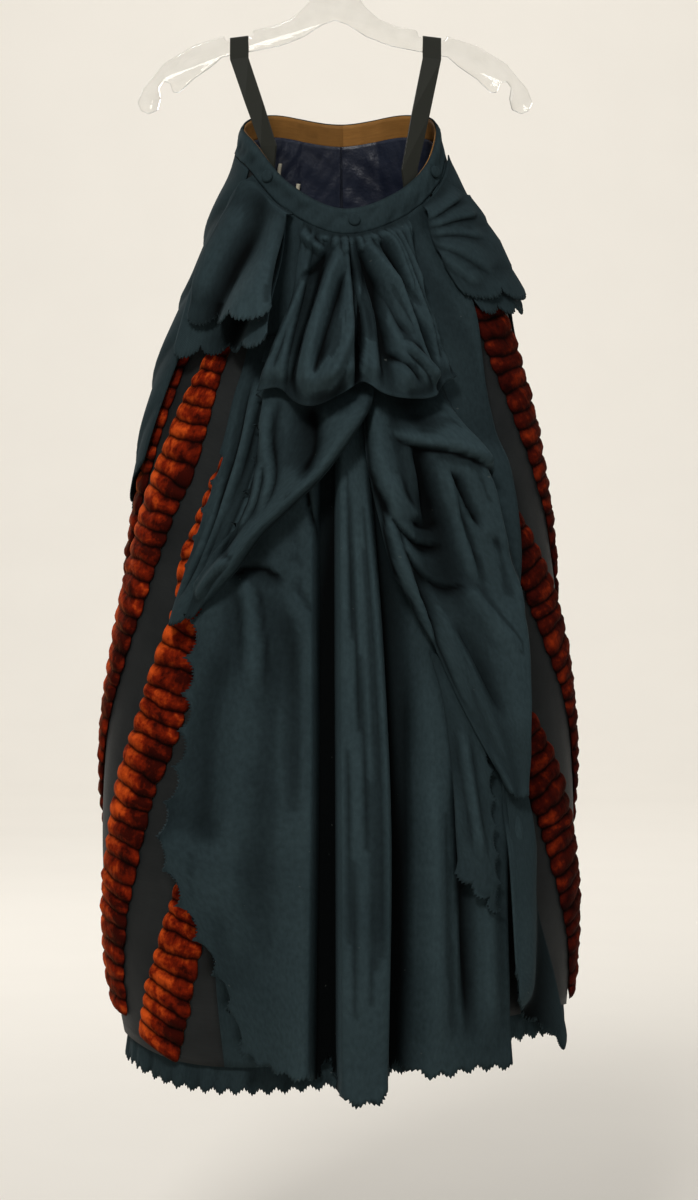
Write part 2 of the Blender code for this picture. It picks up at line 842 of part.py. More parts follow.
def hem():
    """The pinked wool frill that shows below the foundation skirt."""
    teeth = 2 * round(HEM_LENGTH / HEM_TOOTH_PITCH)

    def points(angle):
        tooth = np.round((np.asarray(angle) + 180) / 360 * teeth) % 2
        return hem_edge(angle) - HEM_FRILL_SHOWS - tooth * HEM_TOOTH_DEPTH

    frill = Round(-180, 180, lambda angle: hem_edge(angle) + HEM_FRILL_HIDDEN, points, teeth)
    cloth("hem_frill", frill, 1, lambda angle, z, u, v: -SILK_WALL - WOOL_WALL - 4.0 + 2.0 * v, "teal_wool",
          closed=True, layer=False)


def drapery():
    """The wool drapery of the near side, from the layer next to the skirt outwards."""
    pinked = Trim(HEM_TOOTH_PITCH, HEM_TOOTH_DEPTH, HEM_TOOTH_STEPS, pointed=True)
    breadth = Panel.seen(BACK_ROWS, pleat_lines, stand_off=22, strips=BACK_STRIPS, from_seam=True,
                         bottom=BACK_HEM)
    cloth("back_breadth", breadth, 18, lambda a, z, u, v: folded(BACK_PLEATS, breadth.across(a, z), z),
          "teal_wool", seam_layer=0, trims={"left": scallops(start=0.46), "bottom": pinked})

    tail = Panel.seen(SIDE_TAIL_ROWS, strips=(6,), stand_off=30)
    cloth("side_tail", tail, 8, lambda a, z, u, v: 8 * ease(u) * v, "teal_wool", trims={"bottom": scallops()})

    inner = Panel.seen(INNER_TAIL_ROWS, strips=(6,), stand_off=40)
    cloth("inner_tail", inner, 8, lambda a, z, u, v: 5 * np.sin(np.pi * u) * v, "teal_wool",
          trims={"bottom": scallops(pitch=20, depth=6)})

    def swag_roll(angle, z, u, v):
        outer = 16 * ease((u - 0.45) / 0.35) * ease((1.02 - u) / 0.14)
        inside = 12 * ease((0.30 - u) / 0.22) * ease((u + 0.03) / 0.1)
        across = 10 * ease((v - 0.2) / 0.08) * ease((0.42 - v) / 0.12) * ease(1 - abs(u - 0.5) / 0.35)
        return (outer + inside + across) * ease(v / 0.15) * (1 - 0.7 * ease((v - 0.75) / 0.25))

    swag = Panel.seen(SWAG_ROWS, strips=(12,), stand_off=44)
    cloth("right_swag", swag, 14, swag_roll, "teal_wool",
          trims={"right": scallops(start=0.84, depth=8), "bottom": scallops(depth=6)})

    under = Panel.seen(UNDER_CASCADE_ROWS, strips=(8,), stand_off=24)
    cloth("under_cascade", under, 9, lambda a, z, u, v: 5 * np.sin(np.pi * u) * v, "teal_wool",
          trims={"left": scallops(start=0.55, depth=6)})

    def cascade_roll(angle, z, u, v):
        edge = 16 * ease((u - 0.25) / 0.5) * ease((1.03 - u) / 0.16)
        return edge * ease((v - 0.1) / 0.25) * ease((1.02 - v) / 0.3)

    cascade = Panel.seen(CASCADE_ROWS, strips=(10,), stand_off=34)
    cloth("left_cascade", cascade, 12, cascade_roll, "teal_wool", trims={"left": scallops(start=0.25)})

    pouf = Panel.seen(POUF_ROWS, stand_off=58, strips=(22,), from_seam=True, bottom=POUF_HEM)

    def pouf_roll(angle, z, u, v):
        fading = (1 - 0.8 * ease((v - 0.88) / 0.12)) * ease(v / 0.1)
        return folded(POUF_FOLDS, pouf.across(angle, z), z) * fading

    cloth("back_pouf", pouf, 11, pouf_roll, "teal_wool", seam_layer=1)


def flaps():
    """The scalloped flaps over the hips, each of two layers."""

    def left_bell(amount):
        return lambda angle, z, u, v: amount * v * (0.55 + 0.45 * np.cos(2 * np.pi * (u - 0.12)))

    longer = [(l - 4 * n, zl - 9 * n, r - 2 * n, zr - 9 * n)
              for n, (l, zl, r, zr) in enumerate(LEFT_FLAP_ROWS)]
    cloth("left_flap_under", Panel.seen(longer, strips=(12,), stand_off=22, from_seam=True), 8, left_bell(10),
          "teal_wool", seam_layer=1.2, trims={"bottom": scallops(pitch=38, depth=10)})
    cloth("left_flap", Panel.seen(LEFT_FLAP_ROWS, strips=(12,), stand_off=32, from_seam=True), 8,
          left_bell(5), "teal_wool", seam_layer=3.2, trims={"bottom": scallops(pitch=40, depth=10)})

    def fan(angle, z, u, v):
        return 2.5 * np.abs(np.sin(2.5 * np.pi * v)) * ease(u / 0.4) * ease(v / 0.2) + 3 * u * v

    longer = [(l + 4 * n, zl - 4 * n, r + 2 * n, zr - 4 * n)
              for n, (l, zl, r, zr) in enumerate(RIGHT_FLAP_ROWS)]
    cloth("right_flap_under", Panel.seen(longer, strips=(10,), stand_off=20, from_seam=True), 8,
          lambda a, z, u, v: 10 * u * v, "teal_wool", seam_layer=2.4,
          trims={"bottom": scallops(pitch=30, depth=8)})
    cloth("right_flap", Panel.seen(RIGHT_FLAP_ROWS, strips=(10,), stand_off=28, from_seam=True), 10, fan,
          "teal_wool", seam_layer=3.7, trims={"bottom": scallops(pitch=36, depth=10)})


class Apron(Panel):
    """A panel whose lower rows dip in the middle, as a cloth draped from hip to hip does."""

    def at(self, u, v):
        """Angle and height at a share u across and a share v down."""
        angle, z = super().at(u, v)
        return angle, z - APRON_DIP * v * np.sin(np.pi * np.clip(u, 0, 1)) ** 1.2


def apron():
    """The draped apron over the far side, which is the front of the garment."""
    rows = [((right, right_z), (left, left_z)) for left, left_z, right, right_z in APRON_ROWS]
    panel = Apron(rows, strips=(20,), from_seam=True, seam_drop=0.9)

    def drape(angle, z, u, v):
        swags = 4 * (1 + np.sin(2 * np.pi * (APRON_SWAGS * v - 0.25))) * np.sin(np.pi * u) * ease(v / 0.12)
        return swags + 1.0

    cloth("front_apron", panel, 9, drape, "teal_wool", seam_layer=0.4, trims={"bottom": scallops(pitch=40)})


def hanger():
    """Clear hanger with a wire hook."""
    half = list(HANGER_OUTLINE)
    outline = half + [(0.0, -103.0)] + [(-x, z) for x, z in reversed(half)]
    flat = bpy.data.curves.new("hanger", "CURVE")
    flat.dimensions = "2D"
    flat.fill_mode = "BOTH"
    flat.extrude = HANGER_THICKNESS / 2 * MM
    line = flat.splines.new("POLY")
    line.points.add(len(outline) - 1)
    for spot, (x, z) in zip(line.points, outline):
        spot.co = (x * MM, z * MM, 0, 1)
    line.use_cyclic_u = True
    made = place("hanger", flat, "clear_plastic")
    made.rotation_euler = (math.pi / 2, 0, 0)

    middle = HOOK_RADIUS + HOOK_WIRE
    arc = [math.radians(HOOK_TIP + (HOOK_END - HOOK_TIP) * n / 13) for n in range(14)]
    route = [(middle * math.cos(a), -HOOK_RADIUS + middle * math.sin(a)) for a in arc]
    route += [(3.0, -40.0), (0.4, -45.0), (0.0, -51.0), (0.0, -59.6)]
    wire = bpy.data.curves.new("hook", "CURVE")
    wire.dimensions = "3D"
    wire.bevel_depth = HOOK_WIRE * MM
    wire.bevel_resolution = 2
    wire.use_fill_caps = True
    line = wire.splines.new("POLY")
    line.points.add(len(route) - 1)
    for spot, (x, z) in zip(line.points, route):
        spot.co = (x * MM, 0, z * MM, 1)
    place("hook", wire, "steel_wire")


def tape(side, x, z, angle):
    """A hanging loop of tape: up from inside the waistband, over the hanger's arm and down again."""
    edge = float(waist_edge(angle))
    inside = -SEAM_GAP - LINING_WALL - TAPE_WALL - 2.5
    sewn, loose = (Vector(skirt_point(angle, edge - depth, inside)) for depth in (TAPE_SEWN, -TAPE_LOOSE))
    low_width = Vector(skirt_point(angle + 2, edge, inside) - skirt_point(angle - 2, edge, inside))
    low_width.z = 0
    low_width.normalize()
    inward = Vector((0, 0, 1)).cross(low_width)
    high_width = Vector((0.99, 0, -0.12 if x > 0 else 0.12)).normalized()
    arm = HANGER_THICKNESS / 2 + 0.4
    over = Vector((x, 0, z))
    below_arm = over + Vector((0, 0, -ARM_HEIGHT))
    front, back = [], []
    legs = ((sewn, loose, 0.0), (loose, below_arm, 0.0), (loose, below_arm, 0.5), (loose, below_arm, 1.0))
    for start, end, share in legs:
        width = low_width.lerp(high_width, share).normalized()
        spread = Vector((0, arm * share, 0))
        front.append((start.lerp(end, share) - spread, width))
        back.append((start.lerp(end, share) + inward * (SEAM_GAP * (1 - share)) + spread, width))
    cap = [(over + Vector((0, y * arm, rise)), high_width)
           for y, rise in ((-1.0, -0.8), (-0.8, 0.5), (0.0, 0.8), (0.8, 0.5), (1.0, -0.8))]
    mesh = bmesh.new()
    pairs = [[mesh.verts.new((spot + width * TAPE_HALF_WIDTH * way) * MM) for way in (-1, 1)]
             for spot, width in front + cap + back[::-1]]
    for low, high in zip(pairs, pairs[1:]):
        mesh.faces.new((low[0], low[1], high[1], high[0]))
    data = bpy.data.meshes.new("tape_" + side)
    mesh.to_mesh(data)
    mesh.free()
    made = place("tape_" + side, data, "black_tape")
    thicken = made.modifiers.new("thickness", "SOLIDIFY")
    thicken.thickness = TAPE_WALL * MM
    thicken.offset = 1.0
    thicken.use_even_offset = False


clear_scene()
garment = bpy.data.collections.new("walking_dress_skirt")
bpy.context.scene.collection.children.link(garment)
stack = Stack()
foundation()
hem()
for band, band_path in VELVET_PATHS.items():
    velvet_band(band, band_path)
apron()
drapery()
flaps()
waist()
for spot in BUTTONS:
    button(*spot)
hanger()
for spot in TAPE_SPOTS:
    tape(*spot)
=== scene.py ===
"""Looks of the draped skirt of an 1880s walking dress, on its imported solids.

The skirt is seen from its draped back, which faces -Y. +X is the viewer's right and +Z is up. Tables are in
millimetres. A place on the skirt is an angle round it, 0 in the middle of the near side, 90 at the viewer's
right and 180 in the middle of the far side, and a height. Each cloth stands off the bare skirt by its lift,
over whatever is laid under it.
"""

import json
import logging
import math
from dataclasses import dataclass, field
from enum import Enum
from typing import Callable, Iterable, Optional, Sequence

import bpy
import numpy as np
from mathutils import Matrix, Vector

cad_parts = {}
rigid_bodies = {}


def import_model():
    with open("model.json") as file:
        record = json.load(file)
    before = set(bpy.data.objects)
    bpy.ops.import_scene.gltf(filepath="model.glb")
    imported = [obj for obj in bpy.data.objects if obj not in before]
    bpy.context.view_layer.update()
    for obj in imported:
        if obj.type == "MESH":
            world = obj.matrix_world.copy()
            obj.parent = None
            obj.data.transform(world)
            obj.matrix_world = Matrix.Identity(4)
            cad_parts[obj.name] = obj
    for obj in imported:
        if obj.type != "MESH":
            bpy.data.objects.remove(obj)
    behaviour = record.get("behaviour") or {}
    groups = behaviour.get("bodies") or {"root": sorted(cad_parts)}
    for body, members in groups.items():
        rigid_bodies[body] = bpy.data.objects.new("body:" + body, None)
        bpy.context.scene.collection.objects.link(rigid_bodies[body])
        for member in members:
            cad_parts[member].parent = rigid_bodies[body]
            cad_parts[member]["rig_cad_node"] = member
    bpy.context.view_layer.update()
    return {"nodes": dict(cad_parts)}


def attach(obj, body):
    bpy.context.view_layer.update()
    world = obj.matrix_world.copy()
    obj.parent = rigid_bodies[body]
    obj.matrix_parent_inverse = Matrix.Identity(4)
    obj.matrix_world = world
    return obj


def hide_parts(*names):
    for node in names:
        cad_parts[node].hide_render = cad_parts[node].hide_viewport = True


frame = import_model()

log = logging.getLogger("walking_dress")

MM = 0.001
DEGREES = math.pi / 180

Array = np.ndarray
# Takes angle, height, share across and share down, and gives how far a cloth stands off what is under it
Shape = Callable[[Array, Array, Array, Array], Array]
Socket = bpy.types.NodeSocket

# The bare skirt
CENTRE_X = 5.0
SECTIONS = (
    # share of the way from waist to hem, half widths left and right, half depths near and far
    (0.00, 104, 104, 82, 82), (0.06, 118, 120, 92, 94), (0.12, 140, 148, 104, 108),
    (0.19, 160, 176, 116, 122), (0.28, 187, 197, 128, 136), (0.40, 212, 217, 140, 150),
    (0.55, 237, 236, 152, 160), (0.70, 254, 250, 162, 168), (0.82, 256, 253, 166, 170),
    (0.92, 248, 251, 166, 168), (1.00, 233, 246, 160, 162),
)
WAIST_EDGE = (
    # angle, height of the waistband's top edge, which droops where the back drapery pulls on it
    (-225, -200), (-180, -208), (-135, -200), (-90, -219),
    (-60, -240), (-32, -284), (0, -313), (34, -296),
    (62, -263), (90, -221), (135, -200), (180, -208),
    (225, -200),
)
HEM_EDGE = (
    # angle, height of the bare skirt's lower edge
    (-240, -1180), (-180, -1200), (-120, -1190), (-72, -1196),
    (-45, -1211), (0, -1202), (40, -1166), (72, -1160),
    (120, -1180), (180, -1200), (240, -1190),
)

GORES = (
    # name, angles of its two seams, finish
    ("skirt_back_gore", -31, 38, "teal_wool"),
    ("skirt_right_gore", 38, 135, "grey_silk"),
    ("skirt_front_gore", 135, 225, "grey_silk"),
    ("skirt_left_gore", -135, -31, "grey_silk"),
)
GORE_COLUMN = 10  # degrees across each column of a gore's grid

# Cloth and the gaps between its layers
BAND_HEIGHT = 27.0
BAND_WALL = 3.0
SEAM_GAP = 0.6
LINING_WALL = 1.1
WOOL_WALL = 1.7
SILK_WALL = 1.2
LINING_LENGTH = 125.0
SEWN_GAP = 0.4
LAYER_GAP = 0.8

# Scalloped and pinked edges
SCALLOP_PITCH = 34.0
SCALLOP_DEPTH = 8.5
HEM_TOOTH_PITCH = 18.0
HEM_TOOTH_DEPTH = 7.0

# Folds of the near drapery. Each row: height, left foot and right foot across the front view, and height of
# the fold; each fold ends with the widths of its two walls
BACK_PLEATS = (
    (((-330, -200, -8, 0), (-400, -200, -12, 3), (-620, -215, -17, 14),
      (-930, -240, -18, 22), (-1240, -240, -22, 26)), 90, 7),
    (((-330, 1, 33, 0), (-400, 4, 40, 4), (-560, 0, 40, 18),
      (-760, 0, 54, 30), (-930, 1, 62, 36), (-1240, 2, 58, 46)), 8, 12),
    (((-330, 36, 190, 0), (-400, 52, 200, 3), (-620, 62, 215, 10),
      (-930, 68, 215, 22), (-1240, 66, 215, 26)), 34, 30),
)
POUF_FOLDS = (
    (((-320, -58, -28, 2), (-400, -68, -40, 8), (-505, -84, -50, 13)), 16, 4),
    (((-330, -6, 16, 3), (-380, -20, 20, 18), (-440, -34, 21, 32), (-530, -42, 20, 34)), 18, 4),
    (((-330, 16, 26, 4), (-400, 24, 40, 15), (-530, 26, 54, 18)), 3, 14),
    (((-330, 28, 52, 4), (-400, 42, 84, 16), (-460, 54, 104, 24), (-530, 58, 118, 26)), 18, 5),
    (((-320, 60, 104, 2), (-400, 88, 116, 8), (-530, 118, 150, 15)), 16, 4),
)

# Panels. Rows of near panels: left end across and height, right end across and height, in the front view
BACK_ROWS = (
    (-84, -330, 124, -316), (-94, -411, 154, -410), (-95, -464, 166, -463),
    (-101, -517, 174, -516), (-109, -569, 182, -568), (-120, -621, 188, -621),
    (-135, -694, 194, -695), (-148, -767, 196, -768), (-155, -830, 190, -831),
    (-166, -903, 180, -903), (-182, -971, 174, -970), (-162, -1022, 173, -1022),
    (-140, -1072, 173, -1074), (-120, -1120, 174, -1124), (-97, -1184, 177, -1208),
)
BACK_STRIPS = (6, 2, 2, 2, 2, 2, 2, 3, 5)
BACK_HEM = (
    # share across, rise of the hem
    (0.00, 0), (0.12, -18), (0.23, -27), (0.31, -24),
    (0.35, -7), (0.39, -21), (0.50, -43), (0.61, -10),
    (0.69, -6), (0.81, -12), (0.90, -3), (1.00, 0),
)
CASCADE_ROWS = (
    (-77, -450, 39, -450), (-80, -501, 39, -512), (-82, -559, 23, -546),
    (-88, -600, -10, -595), (-98, -642, -41, -626), (-117, -673, -69, -655),
    (-135, -704, -98, -696), (-151, -740, -140, -738),
)
UNDER_CASCADE_ROWS = (
    (-99, -450, -40, -450), (-107, -516, -46, -517), (-113, -558, -57, -559),
    (-132, -621, -67, -621), (-146, -668, -88, -668), (-162, -710, -114, -709),
    (-178, -745, -151, -746),
)
SWAG_ROWS = (
    (39, -444, 121, -442), (35, -517, 136, -516), (34, -559, 158, -571),
    (38, -600, 173, -621), (47, -642, 184, -668), (59, -688, 195, -721),
    (80, -729, 200, -768), (104, -771, 199, -821), (130, -828, 197, -862),
    (156, -881, 200, -894), (178, -921, 198, -923),
)
INNER_TAIL_ROWS = (
    (101, -776, 141, -800), (115, -828, 158, -860), (123, -890, 167, -923),
    (124, -952, 169, -985), (126, -999, 171, -1046),
)
SIDE_TAIL_ROWS = (
    (168, -880, 188, -886), (172, -934, 197, -935), (175, -996, 211, -999),
    (178, -1052, 231, -1058), (181, -1106, 262, -1191),
)
POUF_ROWS = (
    (-51, -320, 109, -307), (-53, -369, 109, -356), (-56, -412, 112, -402),
    (-66, -459, 126, -447), (-76, -494, 140, -481), (-80, -508, 145, -494),
)
POUF_HEM = (
    # share across, rise of the lower edge
    (0.00, 0), (0.12, -1), (0.17, -12), (0.27, -20),
    (0.40, -8), (0.48, 2), (0.56, -10), (0.70, -18),
    (0.84, -14), (0.90, -4), (1.00, 2),
)
LEFT_FLAP_ROWS = (
    (-98, -250, -53, -297), (-117, -284, -53, -325), (-130, -318, -52, -358),
    (-144, -366, -50, -391), (-157, -424, -47, -423),
)
RIGHT_FLAP_ROWS = (
    (106, -300, 148, -284), (108, -329, 176, -305), (113, -350, 190, -338),
    (124, -373, 203, -368), (139, -398, 211, -394),
)
APRON_ROWS = (
    # angle and height of the left end, then of the right end, round the far side
    (-60, -265, -300, -270), (-62, -370, -286, -330), (-66, -475, -272, -385),
    (-75, -575, -262, -440),
)
APRON_DIP = 190.0
HEM_FRILL_SHOWS = 24.0
HEM_FRILL_HIDDEN = 12.0

# Velvet bands: angle and height down the middle of each
VELVET_PATHS = {
    "velvet_left_1": ((-74, -425), (-79, -490), (-85, -550), (-93, -627), (-107, -722), (-121, -817),
                      (-135, -915), (-152, -1050), (-167, -1184)),
    "velvet_left_2": ((-45, -410), (-48, -455), (-53, -514), (-58, -575), (-65, -627), (-74, -722),
                      (-86, -817), (-99, -905), (-114, -1000), (-140, -1184)),
    "velvet_left_3": ((-32, -536), (-33, -576), (-36, -611), (-39, -658), (-41, -691),
                      (-40, -730), (-45, -785), (-52, -870), (-59, -930), (-64, -990), (-72, -1062),
                      (-81, -1165)),
    "velvet_left_4": ((-33, -990), (-38, -1050), (-44, -1116), (-50, -1165), (-55, -1200)),
    "velvet_right_1": ((60, -352), (66, -415), (74, -495), (82, -552), (91, -615), (106, -710),
                       (121, -805), (135, -900), (152, -1040), (167, -1176)),
    "velvet_right_2": ((44, -590), (54, -641), (62, -686), (73, -750), (85, -815), (98, -900),
                       (113, -1000), (137, -1160)),
    "velvet_right_3": ((36, -770), (46, -835), (58, -908), (66, -962), (74, -1017), (83, -1069),
                       (96, -1148)),
}
VELVET_TOPS = {
    # share of its width at which a band starts, where that is narrower than the others
    "velvet_left_2": 0.25,
    "velvet_left_3": 0.50,
    "velvet_left_4": 0.70,
    "velvet_right_2": 0.50,
    "velvet_right_3": 0.62,
}
VELVET_TOP = 0.88

# Covered buttons
BUTTONS = (
    # angle, distance of its middle below the band's top edge
    ("button_left", -44, 12),
    ("button_middle", 8, 12),
    ("button_right", 66, 13),
)
BUTTON_RADIUS = 6.6
BUTTON_HEIGHT = 3.6

# Thickness and fineness of the cloth that shows
SHOWN_WOOL = 1.5
SHOWN_SILK = 0.8
SHOWN_LINING = 0.7
PINK_PITCH = 3.3
PINK_DEPTH = 2.9

# Creases of each drapery, read from the photograph and written across and down the front view
CREASE_DEPTH = 1.5  # how many times deeper the creases lie than the heights in these tables
POUF_CREASES = (
    # height, widths of the slopes on its left and right where it runs down the view, line
    (14, 10, 16, ((14, -349), (-7, -387), (-22, -432), (-32, -483), (-37, -518))),
    (16, 16, 8, ((25, -378), (24, -414), (14, -456), (-1, -497), (-10, -524))),
    (-6, 9, 9, ((14, -378), (-1, -423), (-13, -468), (-20, -503))),
    (-12, 6, 5, ((21, -359), (27, -408), (30, -444), (18, -509))),
    (8, 8, 6, ((33, -387), (45, -435), (42, -474), (38, -509))),
    (-6, 8, 12, ((30, -349), (44, -387), (51, -432), (51, -480))),
    (12, 16, 10, ((33, -343), (62, -375), (85, -402), (103, -432), (111, -456))),
    (-8, 12, 10, ((44, -378), (62, -414), (76, -444), (88, -456))),
    (12, 7, 8, ((71, -456), (91, -474), (109, -495), (118, -508))),
    (-8, 8, 8, ((56, -468), (76, -483), (94, -503))),
    (7, 14, 3, ((65, -317), (85, -349), (103, -399), (117, -456), (121, -495))),
    (6, 12, 3, ((47, -325), (76, -344), (91, -378), (102, -414))),
    (5, 12, 3, ((76, -316), (97, -355), (118, -414), (130, -468))),
    (8, 20, 3, ((-25, -375), (-31, -408), (-41, -456), (-49, -508))),
    (8, 10, 4, ((-56, -322), (-37, -346), (-12, -362))),
    (-6, 5, 8, ((-12, -362), (-28, -375), (-49, -389))),
    (6, 8, 8, ((-13, -328), (-17, -349))),
    (6, 6, 5, ((1, -331), (-1, -358))),
    (7, 6, 5, ((14, -334), (15, -364))),
    (6, 5, 6, ((30, -334), (38, -361))),
    (6, 5, 6, ((41, -331), (66, -353))),
    (5, 6, 6, ((-43, -387), (-51, -423), (-63, -468), (-71, -503))),
)
SWAG_CREASES = (
    (12, 26, 6, ((180, -611), (159, -584), (123, -566), (85, -559), (55, -547))),
    (-10, 5, 16, ((83, -560), (92, -600), (99, -650))),
    (-6, 4, 13, ((118, -588), (134, -620), (150, -655))),
    (-9, 12, 4, ((46, -602), (66, -648), (92, -668), (124, -668))),
    (-5, 12, 4, ((60, -640), (84, -690), (118, -712), (150, -706))),
    (-4, 4, 10, ((78, -643), (100, -651), (117, -645))),
    (5, 14, 8, ((60, -593), (70, -620), (93, -643))),
    (6, 12, 5, ((112, -579), (124, -626), (136, -670), (150, -715))),
    (-13, 4, 13, ((40, -575), (46, -640), (60, -712), (84, -776), (124, -864))),
    (7, 12, 6, ((62, -690), (88, -762), (128, -852))),
    (-12, 4, 15, ((70, -668), (92, -728), (116, -790), (148, -861), (174, -925))),
    (9, 22, 6, ((160, -579), (184, -633), (192, -693), (190, -747))),
    (-3, 18, 9, ((150, -653), (174, -675), (181, -735))),
    (4, 14, 8, ((133, -700), (160, -747), (180, -780))),
    (-4, 6, 16, ((120, -740), (150, -800), (176, -856))),
)
CASCADE_CREASES = (
    (7, 20, 4, ((38, -519), (23, -557), (-1, -584), (-25, -620), (-42, -642))),
    (7, 16, 4, ((-95, -680), (-118, -704), (-135, -727))),
    (7, 14, 5, ((-60, -510), (-65, -557), (-60, -602), (-72, -642))),
    (-8, 26, 14, ((-30, -515), (-18, -545), (-20, -575), (-36, -606))),
    (-6, 4, 12, ((-74, -520), (-80, -580), (-92, -640), (-120, -700))),
    (5, 8, 4, ((-70, -579), (-75, -619), (-95, -660))),
)
UNDER_CASCADE_CREASES = (
    (7, 10, 4, ((-78, -480), (-90, -570), (-116, -650), (-146, -726))),
    (-7, 4, 9, ((-92, -480), (-104, -590), (-130, -680), (-160, -735))),
    (6, 8, 4, ((-60, -480), (-70, -580), (-96, -660), (-126, -720))),
)
BREADTH_CREASES = (
    (-8, 4, 14, ((-34, -600), (-22, -650), (-14, -700))),
    (8, 14, 5, ((-20, -600), (-10, -660), (-10, -750))),
    (-5, 16, 5, ((-112, -700), (-82, -690), (-48, -706))),
    (5, 14, 10, ((-92, -690), (-80, -760), (-78, -830))),
    (-2, 14, 24, ((-58, -700), (-44, -760), (-40, -850), (-42, -960))),
    (4, 24, 10, ((-51, -707), (-24, -760), (-17, -830))),
    (4, 10, 4, ((8, -560), (12, -727), (26, -958), (30, -1180))),
    (-2, 8, 12, ((26, -560), (38, -794), (44, -958), (46, -1180))),
    (-12, 5, 16, ((76, -760), (73, -861), (70, -980), (68, -1100), (67, -1204))),
    (6, 22, 16, ((98, -900), (100, -1050), (104, -1204))),
    (-6, 8, 18, ((122, -880), (127, -1043), (133, -1190))),
    (5, 18, 14, ((150, -960), (154, -1194))),
    (5, 34, 30, ((-84, -720), (-92, -860), (-104, -1000), (-92, -1120))),
    (-1.5, 24, 26, ((-134, -800), (-132, -900), (-118, -1020))),
)
LEFT_FLAP_CREASES = (
    (6, 26, 34, ((-104, -303), (-129, -363), (-143, -418))),
    (-3.5, 9, 9, ((-96, -384), (-96, -430))),
    (4, 18, 10, ((-64, -315), (-60, -375), (-61, -430))),
    (-3, 14, 14, ((-116, -412), (-119, -436))),
)
RIGHT_FLAP_CREASES = (
    (3.5, 3, 12, ((104, -324), (127, -309), (148, -292))),
    (3.5, 3, 14, ((105, -332), (136, -321), (165, -312))),
    (3.5, 3, 16, ((108, -340), (139, -337), (169, -340))),
    (3.5, 4, 20, ((110, -347), (145, -361), (180, -382))),
    (3.0, 5, 18, ((111, -355), (136, -376), (163, -394))),
)
SIDE_TAIL_CREASES = (
    (4, 8, 8, ((183, -930), (196, -1010), (214, -1110))),
    (-3, 7, 7, ((188, -960), (206, -1050), (232, -1140))),
)
INNER_TAIL_CREASES = (
    (4, 7, 7, ((133, -850), (142, -930), (150, -1000))),
)


def smooth(x: Array, knots: Sequence[float], values: Sequence[float]) -> Array:
    """The smooth curve through a table's knots and values.

    Args:
        x: Where the curve is wanted.
        knots: Rising places of the table.
        values: The curve's value at each knot.

    Returns:
        The curve's values at x, level beyond the table's ends.
    """
    knots = np.asarray(knots, float)
    values = np.asarray(values, float)
    slopes = np.gradient(values, knots)
    x = np.clip(x, knots[0], knots[-1])
    low = np.clip(np.searchsorted(knots, x) - 1, 0, len(knots) - 2)
    width = knots[low + 1] - knots[low]
    t = (x - knots[low]) / width
    start = (1 + 2 * t) * (1 - t) ** 2 * values[low] + t * (1 - t) ** 2 * width * slopes[low]
    end = t * t * (3 - 2 * t) * values[low + 1] + t * t * (t - 1) * width * slopes[low + 1]
    return start + end


def column(table: Iterable[Sequence[float]], index: int) -> list[float]:
    """One column of a table."""
    return [row[index] for row in table]


def ease(t: Array) -> Array:
    """0 below 0, 1 above 1 and a smooth step between."""
    t = np.clip(t, 0, 1)
    return t * t * (3 - 2 * t)


def plateau(x: Array, left: Array, right: Array, left_wall: float, right_wall: float) -> Array:
    """1 between two feet, falling to 0 at each over the width of its wall."""
    return ease((x - left) / left_wall) * ease((right - x) / right_wall)


def wander(x: Array, y: Array, seed: float) -> Array:
    """A gentle uneven wave over two lengths, the same on every run.

    Args:
        x: The first length.
        y: The second length.
        seed: Shifts the wave.

    Returns:
        The wave, about -1 to 1.
    """
    first = np.sin(1.7 * x + 2.3 * seed) * np.cos(1.3 * y - 1.1 * seed)
    second = np.sin(0.9 * x - 1.9 * y + 4.1 * seed)
    third = np.sin(3.1 * x + 2.7 * y + 0.7 * seed)
    return 0.45 * first + 0.35 * second + 0.2 * third


